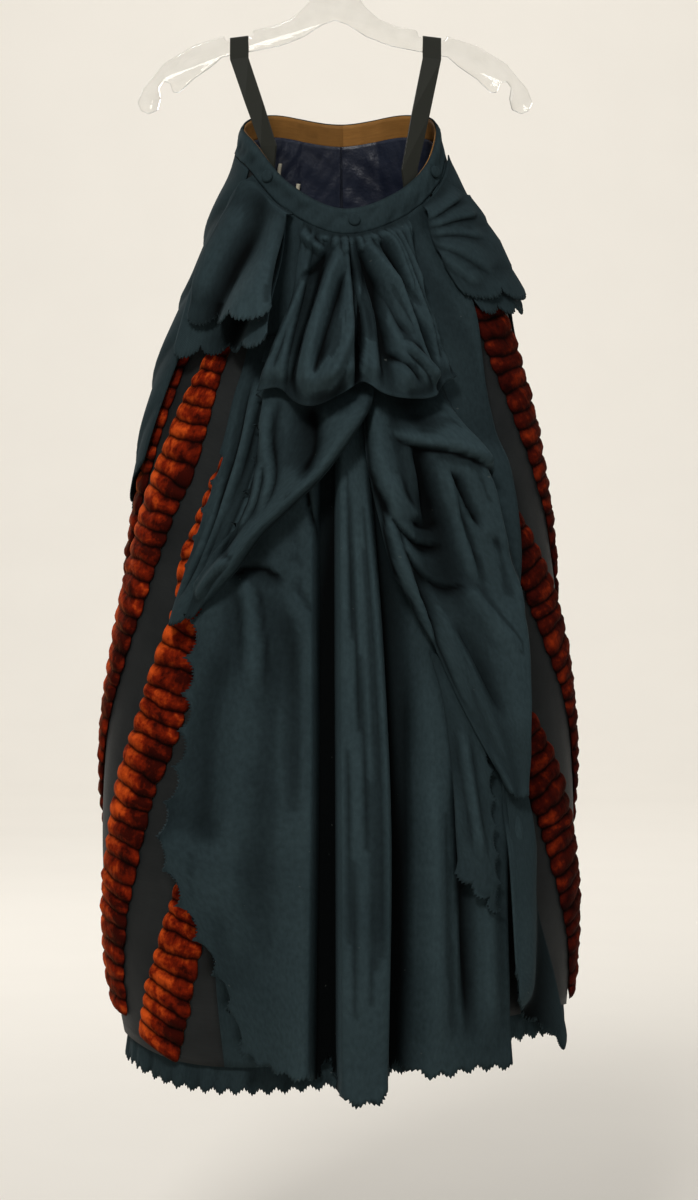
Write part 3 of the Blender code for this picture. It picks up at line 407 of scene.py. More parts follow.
@dataclass(frozen=True)
class SkirtForm:
    """The bare skirt: a stack of ovals between the waist's edge and the hem's edge, in millimetres."""

    centre_x: float = CENTRE_X
    sections: tuple = SECTIONS
    waist_table: tuple = WAIST_EDGE
    hem_table: tuple = HEM_EDGE

    @staticmethod
    def wrapped(angle: Array) -> Array:
        """The same direction as an angle from -180 to 180."""
        return (np.asarray(angle, float) + 180) % 360 - 180

    def waist_edge(self, angle: Array) -> Array:
        """Height of the waistband's top edge."""
        return smooth(angle, column(self.waist_table, 0), column(self.waist_table, 1))

    def hem_edge(self, angle: Array) -> Array:
        """Height of the bare skirt's lower edge."""
        return smooth(angle, column(self.hem_table, 0), column(self.hem_table, 1))

    def half_sizes(self, angle: Array, z: Array) -> tuple[Array, Array]:
        """Half width and half depth of the bare skirt.

        Args:
            angle: Angle round the skirt.
            z: Height.

        Returns:
            The half sizes of the oval on that side, at that height.
        """
        angle = self.wrapped(angle)
        waist, hem = self.waist_edge(angle), self.hem_edge(angle)
        drop = np.clip((waist - z) / (waist - hem), 0, 1)
        drops = column(self.sections, 0)
        left, right, near, far = (smooth(drop, drops, column(self.sections, i)) for i in range(1, 5))
        return np.where(angle < 0, left, right), np.where(np.abs(angle) < 90, near, far)

    def point(self, angle: Array, z: Array, lift: Array) -> Array:
        """Points that stand off the bare skirt.

        Args:
            angle: Angle round the skirt.
            z: Height.
            lift: Distance from the skirt.

        Returns:
            The points, in a last axis of three.
        """
        wide, deep = self.half_sizes(angle, z)
        turn = np.asarray(angle, float) * DEGREES
        x = self.centre_x + (wide + lift) * np.sin(turn)
        y = -(deep + lift) * np.cos(turn)
        return np.stack(np.broadcast_arrays(x, y, z), axis=-1)

    def arc_radius(self, angle: Array, z: Array) -> Array:
        """Length along the skirt's oval for each radian of the angle.

        Args:
            angle: Angle round the skirt.
            z: Height.

        Returns:
            The lengths.
        """
        wide, deep = self.half_sizes(angle, z)
        turn = np.asarray(angle, float) * DEGREES
        return np.hypot(wide * np.cos(turn), deep * np.sin(turn))

    def seen_across(self, angle: Array, z: Array, stand_off: float) -> Array:
        """Where a place on the near side shows across the front view, for cloth that far off the skirt."""
        wide = self.half_sizes(angle, z)[0] + stand_off
        return self.centre_x + wide * np.sin(np.asarray(angle) * DEGREES)

    def angle_seen(self, x: float, z: float, stand_off: float) -> float:
        """The angle on the near side that shows at x in the front view.

        Args:
            x: Place across the front view.
            z: Height.
            stand_off: How far off the skirt the cloth is.

        Returns:
            The angle.
        """
        angle = 0.0
        for _ in range(12):
            wide = float(self.half_sizes(angle, z)[0]) + stand_off
            angle = math.asin(max(-1.0, min(1.0, (x - self.centre_x) / wide))) / DEGREES
        return angle


FORM = SkirtForm()


@dataclass(frozen=True)
class Crease:
    """A soft ridge, or a trough if its height is negative, along a line of the front view.

    Attributes:
        height: How far it stands out of the cloth.
        left: Width of its slope on the viewer's left, for a line that is drawn downwards.
        right: Width of its slope on the other side.
        line: Places across and height that it runs through.
        start: Share of its length over which it rises.
        end: Share of its length over which it falls.
    """

    height: float
    left: float
    right: float
    line: tuple
    start: float = 0.22
    end: float = 0.25

    def relief(self, x: Array, z: Array) -> Array:
        """How far the crease lifts the cloth.

        Args:
            x: Places across the front view.
            z: Their heights.

        Returns:
            The lift at each place.
        """
        line = np.array(self.line, float)
        along = np.concatenate([[0], np.cumsum(np.hypot(*np.diff(line, axis=0).T))])
        stations = np.linspace(0, along[-1], 8 * len(line))
        curve = np.stack([smooth(stations, along, line[:, 0]), smooth(stations, along, line[:, 1])], axis=1)
        reach = max(self.left, self.right)
        total = np.zeros(np.shape(x))
        near = (x > curve[:, 0].min() - reach) & (x < curve[:, 0].max() + reach)
        near &= (z > curve[:, 1].min() - reach) & (z < curve[:, 1].max() + reach)
        if not near.any():
            return total
        spots = np.stack([x[near], z[near]], axis=1)[:, None, :]
        starts, steps = curve[None, :-1], np.diff(curve, axis=0)[None]
        share = np.clip(((spots - starts) * steps).sum(-1) / (steps**2).sum(-1), 0, 1)
        offset = spots - starts - share[..., None] * steps
        apart = np.hypot(offset[..., 0], offset[..., 1])
        best = apart.argmin(axis=1)
        rows = np.arange(len(best))
        side = steps[0, best, 0] * offset[rows, best, 1] - steps[0, best, 1] * offset[rows, best, 0]
        width = np.where(side > 0, self.right, self.left)
        t = (best + share[rows, best]) / (len(curve) - 1)
        slope = np.clip(apart[rows, best] / width, 0, 1)
        bell = np.clip(1.08 - np.sqrt(slope**2 + 0.0064), 0, 1) ** 1.3
        fading = ease(t / self.start) * ease((1 - t) / self.end)
        total[near] = self.height * bell * fading
        return total


def creased(rows: tuple, x: Array, z: Array) -> Array:
    """Sum of a table's creases.

    Args:
        rows: Each crease's height, its two slopes' widths and its line.
        x: Places across the front view.
        z: Their heights.

    Returns:
        The lift at each place.
    """
    total = np.zeros(np.shape(x))
    for height, left, right, line in rows:
        total = total + CREASE_DEPTH * Crease(height, left, right, line).relief(x, z)
    return total


def folded(folds: tuple, x: Array, z: Array) -> Array:
    """Sum of a table's flat-topped folds.

    Args:
        folds: Rows of each fold, and the widths of its two walls.
        x: Places across the front view.
        z: Their heights.

    Returns:
        The lift at each place.
    """
    total = 0.0
    for rows, left_wall, right_wall in folds:
        depths = [-row[0] for row in rows]
        left, right, high = (smooth(-z, depths, column(rows, i)) for i in (1, 2, 3))
        total = total + high * plateau(x, left, right, left_wall, right_wall)
    return total


def pleat_lines(z: float) -> list[float]:
    """The feet and shoulders of the back breadth's pleats.

    Args:
        z: Height at which they are wanted.

    Returns:
        Their places across the front view, from left to right, without the outermost two on each side.
    """
    feet: list[float] = []
    for rows, left_wall, right_wall in BACK_PLEATS:
        depths = [-row[0] for row in rows]
        left, right = (float(smooth(-z, depths, column(rows, i))) for i in (1, 2))
        feet += [left, left + left_wall, right - right_wall, right]
    return feet[2:-2]


class Panel:
    """A cut piece of cloth on the skirt, as rows of places from its top to its bottom.

    A place is an angle and a height. The lines between the places run down the cloth, and strips gives how
    many shares of the grid's columns lie between each line and the next.
    """

    def __init__(self, rows: Sequence, strips: Sequence[int] = (1,), from_seam: bool = False,
                 seam_drop: float = 0.0, bottom: Sequence = (), stand_off: float = 12.0) -> None:
        """Works out the panel's lines.

        Args:
            rows: For each row, the places of its lines.
            strips: Grid columns between each line and the next.
            from_seam: Whether the top row follows the seam under the waistband.
            seam_drop: How far below that seam it lies.
            bottom: Table of share across and rise, which moves the lower edge.
            stand_off: How far off the skirt the panel lies, for its place in the front view.
        """
        places = np.array(rows, float)
        self.angles = places[:, :, 0]
        self.heights = places[:, :, 1]
        self.shares = np.concatenate([[0], np.cumsum(strips)]) / sum(strips)
        self.columns = sum(strips)
        self.from_seam = from_seam
        self.seam_drop = seam_drop
        self.bottom = bottom
        self.stand_off = stand_off
        angle, z = self.angles.mean(axis=1), self.heights.mean(axis=1)
        steps = np.hypot(np.diff(angle) * DEGREES * FORM.arc_radius(angle, z)[1:], np.diff(z))
        self.knots = np.concatenate([[0], np.cumsum(np.maximum(steps, 1.0))])
        self.knots /= self.knots[-1]

    @classmethod
    def seen(cls, rows: Sequence, lines: Optional[Callable[[float], list[float]]] = None,
             stand_off: float = 12.0, **options: object) -> "Panel":
        """A near panel from rows of the front view.

        Args:
            rows: Left end across and height, then the right end's, for each row.
            lines: Takes a height and gives where the panel's inner lines show across the view.
            stand_off: How far off the skirt the panel lies.
            **options: The other options of a panel.

        Returns:
            The panel, in angles and heights.
        """
        turned = []
        for left, left_z, right, right_z in rows:
            spots = [left, *(lines((left_z + right_z) / 2) if lines else ()), right]
            heights = [left_z + (right_z - left_z) * (x - left) / (right - left) for x in spots]
            turned.append([(FORM.angle_seen(x, z, stand_off), z) for x, z in zip(spots, heights)])
        return cls(turned, stand_off=stand_off, **options)

    def at(self, u: Array, v: Array) -> tuple[Array, Array]:
        """Places of the panel.

        Args:
            u: Shares across it.
            v: Shares down it.

        Returns:
            Their angles and heights.
        """
        u, v = np.broadcast_arrays(np.asarray(u, float), np.asarray(v, float))
        angle = z = 0.0
        for row, own in enumerate(np.eye(len(self.knots))):
            weight = smooth(v, self.knots, own)
            row_angle = np.interp(u, self.shares, self.angles[row])
            row_z = np.interp(u, self.shares, self.heights[row])
            if self.from_seam and row == 0:
                row_z = FORM.waist_edge(FORM.wrapped(row_angle)) - BAND_HEIGHT - SEAM_GAP - self.seam_drop
            angle = angle + weight * row_angle
            z = z + weight * row_z
        if self.bottom:
            rise = smooth(u, column(self.bottom, 0), column(self.bottom, 1))
            z = z + rise * np.clip(v, 0, 1) ** 4
        return angle, z

    def across(self, angle: Array, z: Array) -> Array:
        """Where a place of this panel shows across the front view."""
        return FORM.seen_across(angle, z, self.stand_off)

    def edge(self, side: str, t: Array) -> tuple[Array, Array]:
        """Places along one side of the panel.

        Args:
            side: left, right or bottom.
            t: Shares along that side.

        Returns:
            Their angles and heights.
        """
        if side == "bottom":
            return self.at(t, 1.0)
        return self.at(0.0 if side == "left" else 1.0, t)


@dataclass
class Round(Panel):
    """A band round the body between two lines, each a function of the angle.

    Attributes:
        first: Angle at which it starts.
        last: Angle at which it ends.
        upper: Its upper line.
        lower: Its lower line.
        columns: Columns of its grid.
    """

    first: float
    last: float
    upper: Callable[[Array], Array]
    lower: Callable[[Array], Array]
    columns: int

    def at(self, u: Array, v: Array) -> tuple[Array, Array]:
        """Places of the band.

        Args:
            u: Shares along it.
            v: Shares down it.

        Returns:
            Their angles and heights.
        """
        u, v = np.broadcast_arrays(np.asarray(u, float), np.asarray(v, float))
        angle = self.first + (self.last - self.first) * u
        top = self.upper(FORM.wrapped(angle))
        return angle, top + (self.lower(FORM.wrapped(angle)) - top) * v


class Apron(Panel):
    """A panel whose lower rows dip in the middle, as a cloth draped from hip to hip does."""

    def at(self, u: Array, v: Array) -> tuple[Array, Array]:
        """Angle and height at a share u across and a share v down."""
        angle, z = super().at(u, v)
        return angle, z - APRON_DIP * np.asarray(v) * np.sin(np.pi * np.clip(u, 0, 1)) ** 1.2


@dataclass
class LayerMap:
    """The highest outer face of the cloth laid so far, on a raster of heights and angles."""

    cell: float = 3.0
    turn: float = 0.5
    floor: float = -1270.0
    rows: int = 364
    columns: int = 720
    typical_radius: float = 200.0
    top: Array = field(init=False)

    def __post_init__(self) -> None:
        """Starts with the bare skirt."""
        self.top = np.zeros((self.rows, self.columns))

    def lay(self, angle: Array, z: Array, outer: Array) -> None:
        """Records a piece.

        Args:
            angle: Angles of its grid of places.
            z: Their heights.
            outer: Lift of its outer face at each.
        """
        corners = [(part[:-1, :-1], part[:-1, 1:], part[1:, :-1], part[1:, 1:])
                   for part in (angle, z, outer)]
        for s in np.linspace(0, 1, 5):
            for t in np.linspace(0, 1, 5):
                weights = ((1 - s) * (1 - t), s * (1 - t), (1 - s) * t, s * t)
                a, height, lift = (sum(w * c for w, c in zip(weights, four)) for four in corners)
                row = np.clip(np.round((height - self.floor) / self.cell).astype(int), 0, self.rows - 1)
                np.maximum.at(self.top, (row, np.round(a / self.turn).astype(int) % self.columns), lift)

    def cleared(self, reach: float) -> Callable[[Array, Array], Array]:
        """The smooth upper surface that clears all that is laid so far.

        Args:
            reach: How far, in millimetres, the cloth bridges the hollows under it.

        Returns:
            A function of angle and height.
        """
        tall = max(1, round(reach / self.cell))
        wide = max(1, round(reach / (self.typical_radius * self.turn * DEGREES)))
        grown = self.top.copy()
        for shift in range(1, 2 * wide + 1):
            grown = np.maximum(grown, np.maximum(np.roll(self.top, shift, 1), np.roll(self.top, -shift, 1)))
        base = grown.copy()
        for shift in range(1, 2 * tall + 1):
            grown[:-shift] = np.maximum(grown[:-shift], base[shift:])
            grown[shift:] = np.maximum(grown[shift:], base[:-shift])
        for _ in range(2):
            grown = sum(np.roll(grown, shift, 1) for shift in range(-wide, wide + 1)) / (2 * wide + 1)
            padded = np.pad(grown, ((tall, tall), (0, 0)), mode="edge")
            grown = sum(padded[n:n + self.rows] for n in range(2 * tall + 1)) / (2 * tall + 1)

        def surface(angle: Array, z: Array) -> Array:
            """The smooth surface's lift, read between the cells of the raster."""
            row = np.clip((np.asarray(z) - self.floor) / self.cell, 0, self.rows - 1.001)
            turn = (np.asarray(angle) / self.turn) % self.columns
            low_row, low_turn = row.astype(int), turn.astype(int)
            s, t = row - low_row, turn - low_turn
            low_turn, next_turn = low_turn % self.columns, (low_turn + 1) % self.columns
            lower = grown[low_row, low_turn] * (1 - t) + grown[low_row, next_turn] * t
            upper = grown[low_row + 1, low_turn] * (1 - t) + grown[low_row + 1, next_turn] * t
            return lower * (1 - s) + upper * s

        return surface


@dataclass(frozen=True)
class EdgeCut:
    """The cut of a panel's side: lobes or points of one pitch and depth, pinked or plain.

    Attributes:
        pitch: Length of a lobe along the side.
        depth: How far a lobe stands out.
        pointed: Whether its lobes are points and not rounded.
        pinked: Whether small teeth run along them.
        start: Share of the side at which the lobes begin.
    """

    pitch: float = SCALLOP_PITCH
    depth: float = SCALLOP_DEPTH
    pointed: bool = False
    pinked: bool = True
    start: float = 0.0

    def reach(self, t: Array) -> Array:
        """How far the edge stands out at a share t of one lobe."""
        if self.pointed:
            return self.depth * (1 - np.abs(2 * t - 1)) ** 0.9
        return self.depth * np.sqrt(np.maximum(0.0, 1 - (2 * t - 1) ** 2))

    def along_side(self, panel: Panel, side: str, grid: Array) -> tuple[Array, Array, list[Array]]:
        """Moves a side's places outwards to the cut line.

        Args:
            panel: The panel that is cut.
            side: left, right or bottom.
            grid: Shares of the grid's own places along the side.

        Returns:
            Angles and heights of the grid's places on the cut line, and for each step of the grid the
            places between: rows of share, angle and height.
        """
        shares = np.linspace(0, 1, 1201)
        angle, z = panel.edge(side, shares)
        radius = FORM.arc_radius(angle, z) * DEGREES
        along = np.concatenate([[0], np.cumsum(np.hypot(np.diff(angle) * radius[1:], np.diff(z)))])
        first, last = np.interp(self.start, shares, along), along[-1]
        lobes = max(1, round((last - first) / self.pitch))
        length = (last - first) / lobes
        ahead = np.minimum(shares + 0.006, 1.0)
        behind = np.maximum(shares - 0.006, 0.0)
        run = np.stack([np.interp(ahead, shares, angle) - np.interp(behind, shares, angle),
                        np.interp(ahead, shares, z) - np.interp(behind, shares, z)])
        out = np.stack([run[1], -run[0] * radius])
        out /= np.maximum(np.hypot(*out), 1e-9)
        if side == "left":
            out = -out
        if side == "bottom":
            out = np.where(out[1] < 0, out, -out)

        def moved(t: Array, tooth: Array) -> Array:
            """Rows of share, angle and height on the cut line, cut back where there is a tooth."""
            spot = np.interp(t, shares, along)
            inside = (spot >= first - 1e-6) & (spot <= last + 1e-6)
            reach = np.where(inside, self.reach(((spot - first) / length) % 1.0), 0.0)
            if self.pinked:
                reach = reach - PINK_DEPTH * tooth * inside
            near = [np.interp(t, shares, part) for part in (angle, z, radius, out[0], out[1])]
            return np.stack([t, near[0] + near[3] * reach / near[2], near[1] + near[4] * reach], axis=1)

        stops = np.arange(first, last, PINK_PITCH / 2)
        teeth = np.arange(len(stops)) % 2
        fine = np.interp(stops, along, shares)
        own = moved(grid, np.full(len(grid), 0.5))
        spots = moved(fine, teeth)
        between = []
        for low, high in zip(grid, list(grid[1:]) + [2.0]):
            inside = (fine > low + 1e-5) & (fine < high - 1e-5)
            between.append(spots[inside])
        return own[:, 1], own[:, 2], between


HEM_TEETH = EdgeCut(pitch=HEM_TOOTH_PITCH, depth=HEM_TOOTH_DEPTH, pointed=True)


class Shading:
    """A material's node tree, built up call by call round one Principled shader."""

    def __init__(self, name: str, uv: bool = True) -> None:
        """Makes the material.

        Args:
            name: Name of the material.
            uv: Whether its patterns follow the piece's UV map, in metres, or its Object coordinates.
        """
        self.material = bpy.data.materials.new(name)
        self.material.use_nodes = True
        self.tree = self.material.node_tree
        self.shader = self.tree.nodes["Principled BSDF"]
        self.coords = self.add("ShaderNodeTexCoord").outputs["UV" if uv else "Object"]

    def add(self, kind: str, **settings: object) -> bpy.types.Node:
        """A new node.

        Args:
            kind: Type of the node.
            **settings: Its settings by name.

        Returns:
            The node.
        """
        made = self.tree.nodes.new(kind)
        for name, value in settings.items():
            setattr(made, name, value)
        return made

    def link(self, source: Socket, target: Socket) -> None:
        """Joins two sockets."""
        self.tree.links.new(source, target)

    def constant(self, name: str, value: object) -> None:
        """Sets one of the shader's own sockets."""
        self.shader.inputs[name].default_value = value

    def stretched(self, scale: tuple[float, float, float], turn: float = 0.0) -> Socket:
        """The coordinates, stretched and turned in their plane.

        Args:
            scale: Scale along each axis.
            turn: Angle in radians.

        Returns:
            The new coordinates.
        """
        mapping = self.add("ShaderNodeMapping")
        mapping.inputs["Scale"].default_value = scale
        mapping.inputs["Rotation"].default_value = (0.0, 0.0, turn)
        self.link(self.coords, mapping.inputs["Vector"])
        return mapping.outputs["Vector"]

    def noise(self, coords: Socket, scale: float, detail: float = 3.0, rough: float = 0.55) -> Socket:
        """A noise.

        Args:
            coords: Where it is wanted.
            scale: Its scale.
            detail: Number of finer noises on top of it.
            rough: Strength of these.

        Returns:
            Its value.
        """
        made = self.add("ShaderNodeTexNoise")
        made.inputs["Scale"].default_value = scale
        made.inputs["Detail"].default_value = detail
        made.inputs["Roughness"].default_value = rough
        self.link(coords, made.inputs["Vector"])
        return made.outputs["Fac"]

    def waves(self, coords: Socket, scale: float, direction: str = "X", distortion: float = 0.0) -> Socket:
        """Soft bands.

        Args:
            coords: Where they are wanted.
            scale: How close they lie.
            direction: Axis across them.
            distortion: How much they waver.

        Returns:
            Their value.
        """
        made = self.add("ShaderNodeTexWave", bands_direction=direction)
        made.inputs["Scale"].default_value = scale
        made.inputs["Distortion"].default_value = distortion
        self.link(coords, made.inputs["Vector"])
        return made.outputs["Fac"]

    def ramp(self, value: Socket, stops: Sequence[tuple[float, tuple]]) -> Socket:
        """Colours by value.

        Args:
            value: The value.
            stops: Positions, each with its colour.

        Returns:
            The colour.
        """
        made = self.add("ShaderNodeValToRGB")
        points = made.color_ramp.elements
        while len(points) < len(stops):
            points.new(0.5)
        for point, (position, colour) in zip(points, stops):
            point.position = position
            point.color = (*colour, 1.0)
        self.link(value, made.inputs["Fac"])
        return made.outputs["Color"]

    def maths(self, operation: str, first: Socket, second: object) -> Socket:
        """One operation on two values.

        Args:
            operation: Its name, such as ADD.
            first: The first value.
            second: The second value, a socket or a number.

        Returns:
            The result.
        """
        made = self.add("ShaderNodeMath", operation=operation)
        self.link(first, made.inputs[0])
        if isinstance(second, bpy.types.NodeSocket):
            self.link(second, made.inputs[1])
        else:
            made.inputs[1].default_value = second
        return made.outputs["Value"]

    def mixed(self, share: object, first: object, second: object, blend: str = "MIX") -> Socket:
        """Two colours, mixed.

        Args:
            share: Share of the second, a socket or a number.
            first: The first colour.
            second: The second colour.
            blend: Way of mixing.

        Returns:
            The mixed colour.
        """
        made = self.add("ShaderNodeMix", data_type="RGBA", blend_type=blend)
        for socket, value in zip((made.inputs[0], made.inputs[6], made.inputs[7]), (share, first, second)):
            if isinstance(value, bpy.types.NodeSocket):
                self.link(value, socket)
            else:
                socket.default_value = value
        return made.outputs[2]

    def span(self, value: Socket, low: float, high: float, first: float = 0.0, last: float = 1.0) -> Socket:
        """A value, taken to another range.

        Args:
            value: The value.
            low: What it becomes at first.
            high: What it becomes at last.
            first: Start of its own range.
            last: End of its own range.

        Returns:
            The new value.
        """
        made = self.add("ShaderNodeMapRange")
        made.inputs["From Min"].default_value = first
        made.inputs["From Max"].default_value = last
        made.inputs["To Min"].default_value = low
        made.inputs["To Max"].default_value = high
        self.link(value, made.inputs["Value"])
        return made.outputs["Result"]

    def attribute(self, name: str) -> Socket:
        """A value that is kept at each point of the mesh."""
        return self.add("ShaderNodeAttribute", attribute_name=name).outputs["Fac"]

    def bump(self, height: Socket, strength: float, distance: float) -> None:
        """Gives the surface a relief, over any that it has.

        Args:
            height: Value from 0 to 1.
            strength: Strength of the relief.
            distance: Its full height in metres.
        """
        made = self.add("ShaderNodeBump")
        made.inputs["Strength"].default_value = strength
        made.inputs["Distance"].default_value = distance
        self.link(height, made.inputs["Height"])
        socket = self.shader.inputs["Normal"]
        if socket.links:
            self.link(socket.links[0].from_socket, made.inputs["Normal"])
        self.link(made.outputs["Normal"], socket)


@dataclass(frozen=True)
class WoolFinish:
    """Fine teal wool twill with specks of lint, painted shade in its folds and painted highlight on ridges.

    Attributes:
        name: Name of the material.
        slot: The record's slot that it stands for; not used.
        deep: Its colour where it is darkest.
        light: Its colour where it is lightest.
        ridge: How much lighter its painted highlight makes it on the ridge of a fold.
        hollow: What is left of its colour under the painted shade in the depth of a fold.
        lint: Colour of the lint.
        lint_share: How much of its colour a speck covers.
        thread: Distance between the ribs of its twill, in metres.
    """

    name: str = "teal_wool"
    slot: str = "wool"
    deep: tuple = (0.0140, 0.0235, 0.0270)
    light: tuple = (0.0225, 0.0370, 0.0415)
    ridge: float = 1.38
    hollow: float = 0.05
    lint: tuple = (0.10, 0.11, 0.10)
    lint_share: float = 0.28
    thread: float = 0.0009

    def material(self) -> bpy.types.Material:
        """Builds the material.

        Returns:
            The material.
        """
        made = Shading(self.name)
        broad = made.noise(made.coords, 9.0, 4.0)
        fibres = made.noise(made.stretched((1.0, 0.35, 1.0)), 420.0, 2.0)
        tone = made.ramp(broad, ((0.25, self.deep), (0.75, self.light)))
        # Painted shade in the folds and painted highlight on their ridges, set by the fold depth kept on the
        # mesh
        painted_fold_shading = made.span(made.attribute("fold"), self.ridge, self.hollow, -0.5, 1.0)
        tone = made.mixed(1.0, tone, painted_fold_shading, "MULTIPLY")
        fleck = made.ramp(fibres, ((0.3, (0.3,) * 3), (0.7, (1.0,) * 3)))
        flecked = made.mixed(0.35, tone, fleck, "MULTIPLY")
        specks = made.noise(made.coords, 260.0, 0.0)
        rare = made.maths("GREATER_THAN", specks, 0.835)
        patches = made.maths("GREATER_THAN", made.noise(made.coords, 30.0, 1.0), 0.56)
        lint = made.maths("MULTIPLY", made.maths("MULTIPLY", rare, patches), self.lint_share)
        made.link(made.mixed(lint, flecked, (*self.lint, 1.0)), made.shader.inputs["Base Color"])
        made.link(made.span(broad, 0.78, 0.92), made.shader.inputs["Roughness"])
        made.constant("Specular IOR Level", 0.04)
        made.constant("Sheen Weight", 0.04)
        made.constant("Sheen Roughness", 0.4)
        made.constant("Sheen Tint", (0.36, 0.56, 0.64, 1.0))
        twill = made.waves(made.stretched((1.0, 1.0, 1.0), math.radians(62)), 0.32 / self.thread, "X", 0.6)
        made.bump(twill, 0.35, 0.00022)
        made.bump(made.noise(made.coords, 38.0, 3.0), 0.30, 0.0016)
        return made.material


class PaintedVelvetLight(Enum):
    """Whether a velvet band is painted lit or painted shaded: lit and shaded copies of the one velvet."""

    TOWARDS_LIGHT = "bright"
    AWAY = "dark"


@dataclass(frozen=True)
class VelvetFinish:
    """Crushed rust velvet, painted lit or painted shaded per band, with painted shade almost black in its
    folds.
    """

    # Picks the painted-lit or the painted-shaded copy of the velvet
    pile: PaintedVelvetLight
    slot: str = "velvet"

    def material(self) -> bpy.types.Material:
        """Builds the material. The UV map is the share across the band and the puffs along it.

        Returns:
            The material.
        """
        made = Shading("rust_velvet_" + self.pile.value)
        bright = self.pile is PaintedVelvetLight.TOWARDS_LIGHT
        # Tones of the crushed pile, laid in random patches; the brightest tone is also a painted highlight
        top = (0.58, 0.075, 0.009) if bright else (0.26, 0.024, 0.004)
        body = (0.165, 0.0110, 0.0018) if bright else (0.046, 0.0034, 0.0012)
        shade = (0.030, 0.0022, 0.0008) if bright else (0.012, 0.0010, 0.0006)
        crushed = made.noise(made.stretched((1.9, 0.75, 1.0)), 1.0, 5.0, 0.62)
        streaks = made.noise(made.stretched((9.0, 1.6, 1.0)), 1.0, 3.0, 0.6)
        swathes = made.noise(made.stretched((0.9, 0.13, 1.0)), 1.0, 2.0, 0.5)
        tone = made.maths("MULTIPLY", crushed, 0.52)
        tone = made.maths("ADD", tone, made.maths("MULTIPLY", streaks, 0.22))
        tone = made.maths("ADD", tone, made.maths("MULTIPLY", swathes, 0.34))
        positions = (0.44, 0.53, 0.64) if bright else (0.45, 0.56, 0.72)
        stops = tuple(zip(positions, (shade, body, top)))
        parts = made.add("ShaderNodeSeparateXYZ")
        made.link(made.coords, parts.inputs["Vector"])
        # Painted light: one side of each band is painted lighter than the other
        sides = (0.045, -0.055) if bright else (-0.01, 0.01)
        across = made.span(parts.outputs["X"], *sides)
        tone = made.maths("ADD", tone, across)
        # Painted shade: almost black between the puffs, and darker on the lower part of each puff than on
        # its upper part
        down_the_puff = made.maths("FRACT", parts.outputs["Y"], 0.0)
        valley = made.ramp(down_the_puff, ((0.0, (0.05,) * 3), (0.13, (0.80,) * 3), (0.35, (1.0,) * 3),
                                           (0.70, (0.62,) * 3), (0.97, (0.06,) * 3)))
        crushed_pile_with_painted_shade = made.mixed(1.0, made.ramp(tone, stops), valley, "MULTIPLY")
        made.link(crushed_pile_with_painted_shade, made.shader.inputs["Base Color"])
        made.constant("Roughness", 0.82)
        made.constant("Specular IOR Level", 0.03)
        made.constant("Sheen Weight", 0.16 if bright else 0.08)
        made.constant("Sheen Roughness", 0.34)
        made.constant("Sheen Tint", (1.0, 0.25, 0.06, 1.0) if bright else (0.9, 0.16, 0.05, 1.0))
        made.bump(made.noise(made.stretched((60.0, 20.0, 1.0)), 1.0, 2.0), 0.30, 0.0006)
        made.bump(streaks, 0.55, 0.0026)
        return made.material


@dataclass(frozen=True)
class WovenFinish:
    """A plain woven cloth with fine ribs: the grey silk, the brown facing, the lining and the tapes.

    Attributes:
        name: Name of the material.
        slot: The record's slot that it stands for; not used.
        deep: Its colour where it is darkest.
        light: Its colour where it is lightest.
        roughness: Roughness of its surface.
        gloss: Strength of its reflections.
        rib: Distance between its ribs, in metres.
        rib_direction: X for ribs that run down the cloth, Y for ribs across it.
        crinkle: Strength of its creases.
    """

    name: str
    slot: str
    deep: tuple
    light: tuple
    roughness: float
    gloss: float = 0.10
    rib: float = 0.0008
    rib_direction: str = "Y"
    crinkle: float = 0.3

    def material(self) -> bpy.types.Material:
        """Builds the material.

        Returns:
            The material.
        """
        made = Shading(self.name)
        broad = made.noise(made.coords, 14.0, 4.0)
        slubs = made.noise(made.stretched((0.12, 1.0, 1.0)), 500.0, 2.0)
        tone = made.ramp(broad, ((0.28, self.deep), (0.72, self.light)))
        slubbed = made.ramp(slubs, ((0.25, (0.55,) * 3), (0.75, (1.0,) * 3)))
        made.link(made.mixed(0.5, tone, slubbed, "MULTIPLY"), made.shader.inputs["Base Color"])
        rough = made.span(slubs, self.roughness - 0.06, self.roughness + 0.08)
        made.link(rough, made.shader.inputs["Roughness"])
        made.constant("Specular IOR Level", self.gloss)
        made.constant("Sheen Weight", 0.03)
        made.constant("Sheen Roughness", 0.4)
        made.bump(made.waves(made.coords, 0.32 / self.rib, self.rib_direction), 0.3, 0.0002)
        made.bump(made.noise(made.coords, 30.0, 4.0), self.crinkle, 0.003)
        return made.material


@dataclass(frozen=True)
class PlasticFinish:
    """Clear moulded plastic."""

    name: str = "clear_plastic"
    slot: str = "plastic"

    def material(self) -> bpy.types.Material:
        """Builds the material.

        Returns:
            The material.
        """
        made = Shading(self.name, uv=False)
        haze = made.noise(made.coords, 60.0, 3.0)
        made.link(made.ramp(haze, ((0.3, (0.90, 0.90, 0.88)), (0.7, (0.97, 0.97, 0.96)))),
                  made.shader.inputs["Base Color"])
        made.link(made.span(haze, 0.02, 0.06), made.shader.inputs["Roughness"])
        made.constant("Transmission Weight", 0.98)
        made.constant("IOR", 1.46)
        made.bump(haze, 0.15, 0.0008)
        return made.material


@dataclass(frozen=True)
class WireFinish:
    """Bright drawn steel wire."""

    name: str = "steel_wire"
    slot: str = "wire"

    def material(self) -> bpy.types.Material:
        """Builds the material.

        Returns:
            The material.
        """
        made = Shading(self.name, uv=False)
        drawn = made.noise(made.coords, 300.0, 3.0)
        made.link(made.ramp(drawn, ((0.3, (0.50, 0.50, 0.49)), (0.7, (0.68, 0.68, 0.67)))),
                  made.shader.inputs["Base Color"])
        made.link(made.span(drawn, 0.18, 0.36), made.shader.inputs["Roughness"])
        made.constant("Metallic", 1.0)
        made.bump(drawn, 0.2, 0.0001)
        return made.material


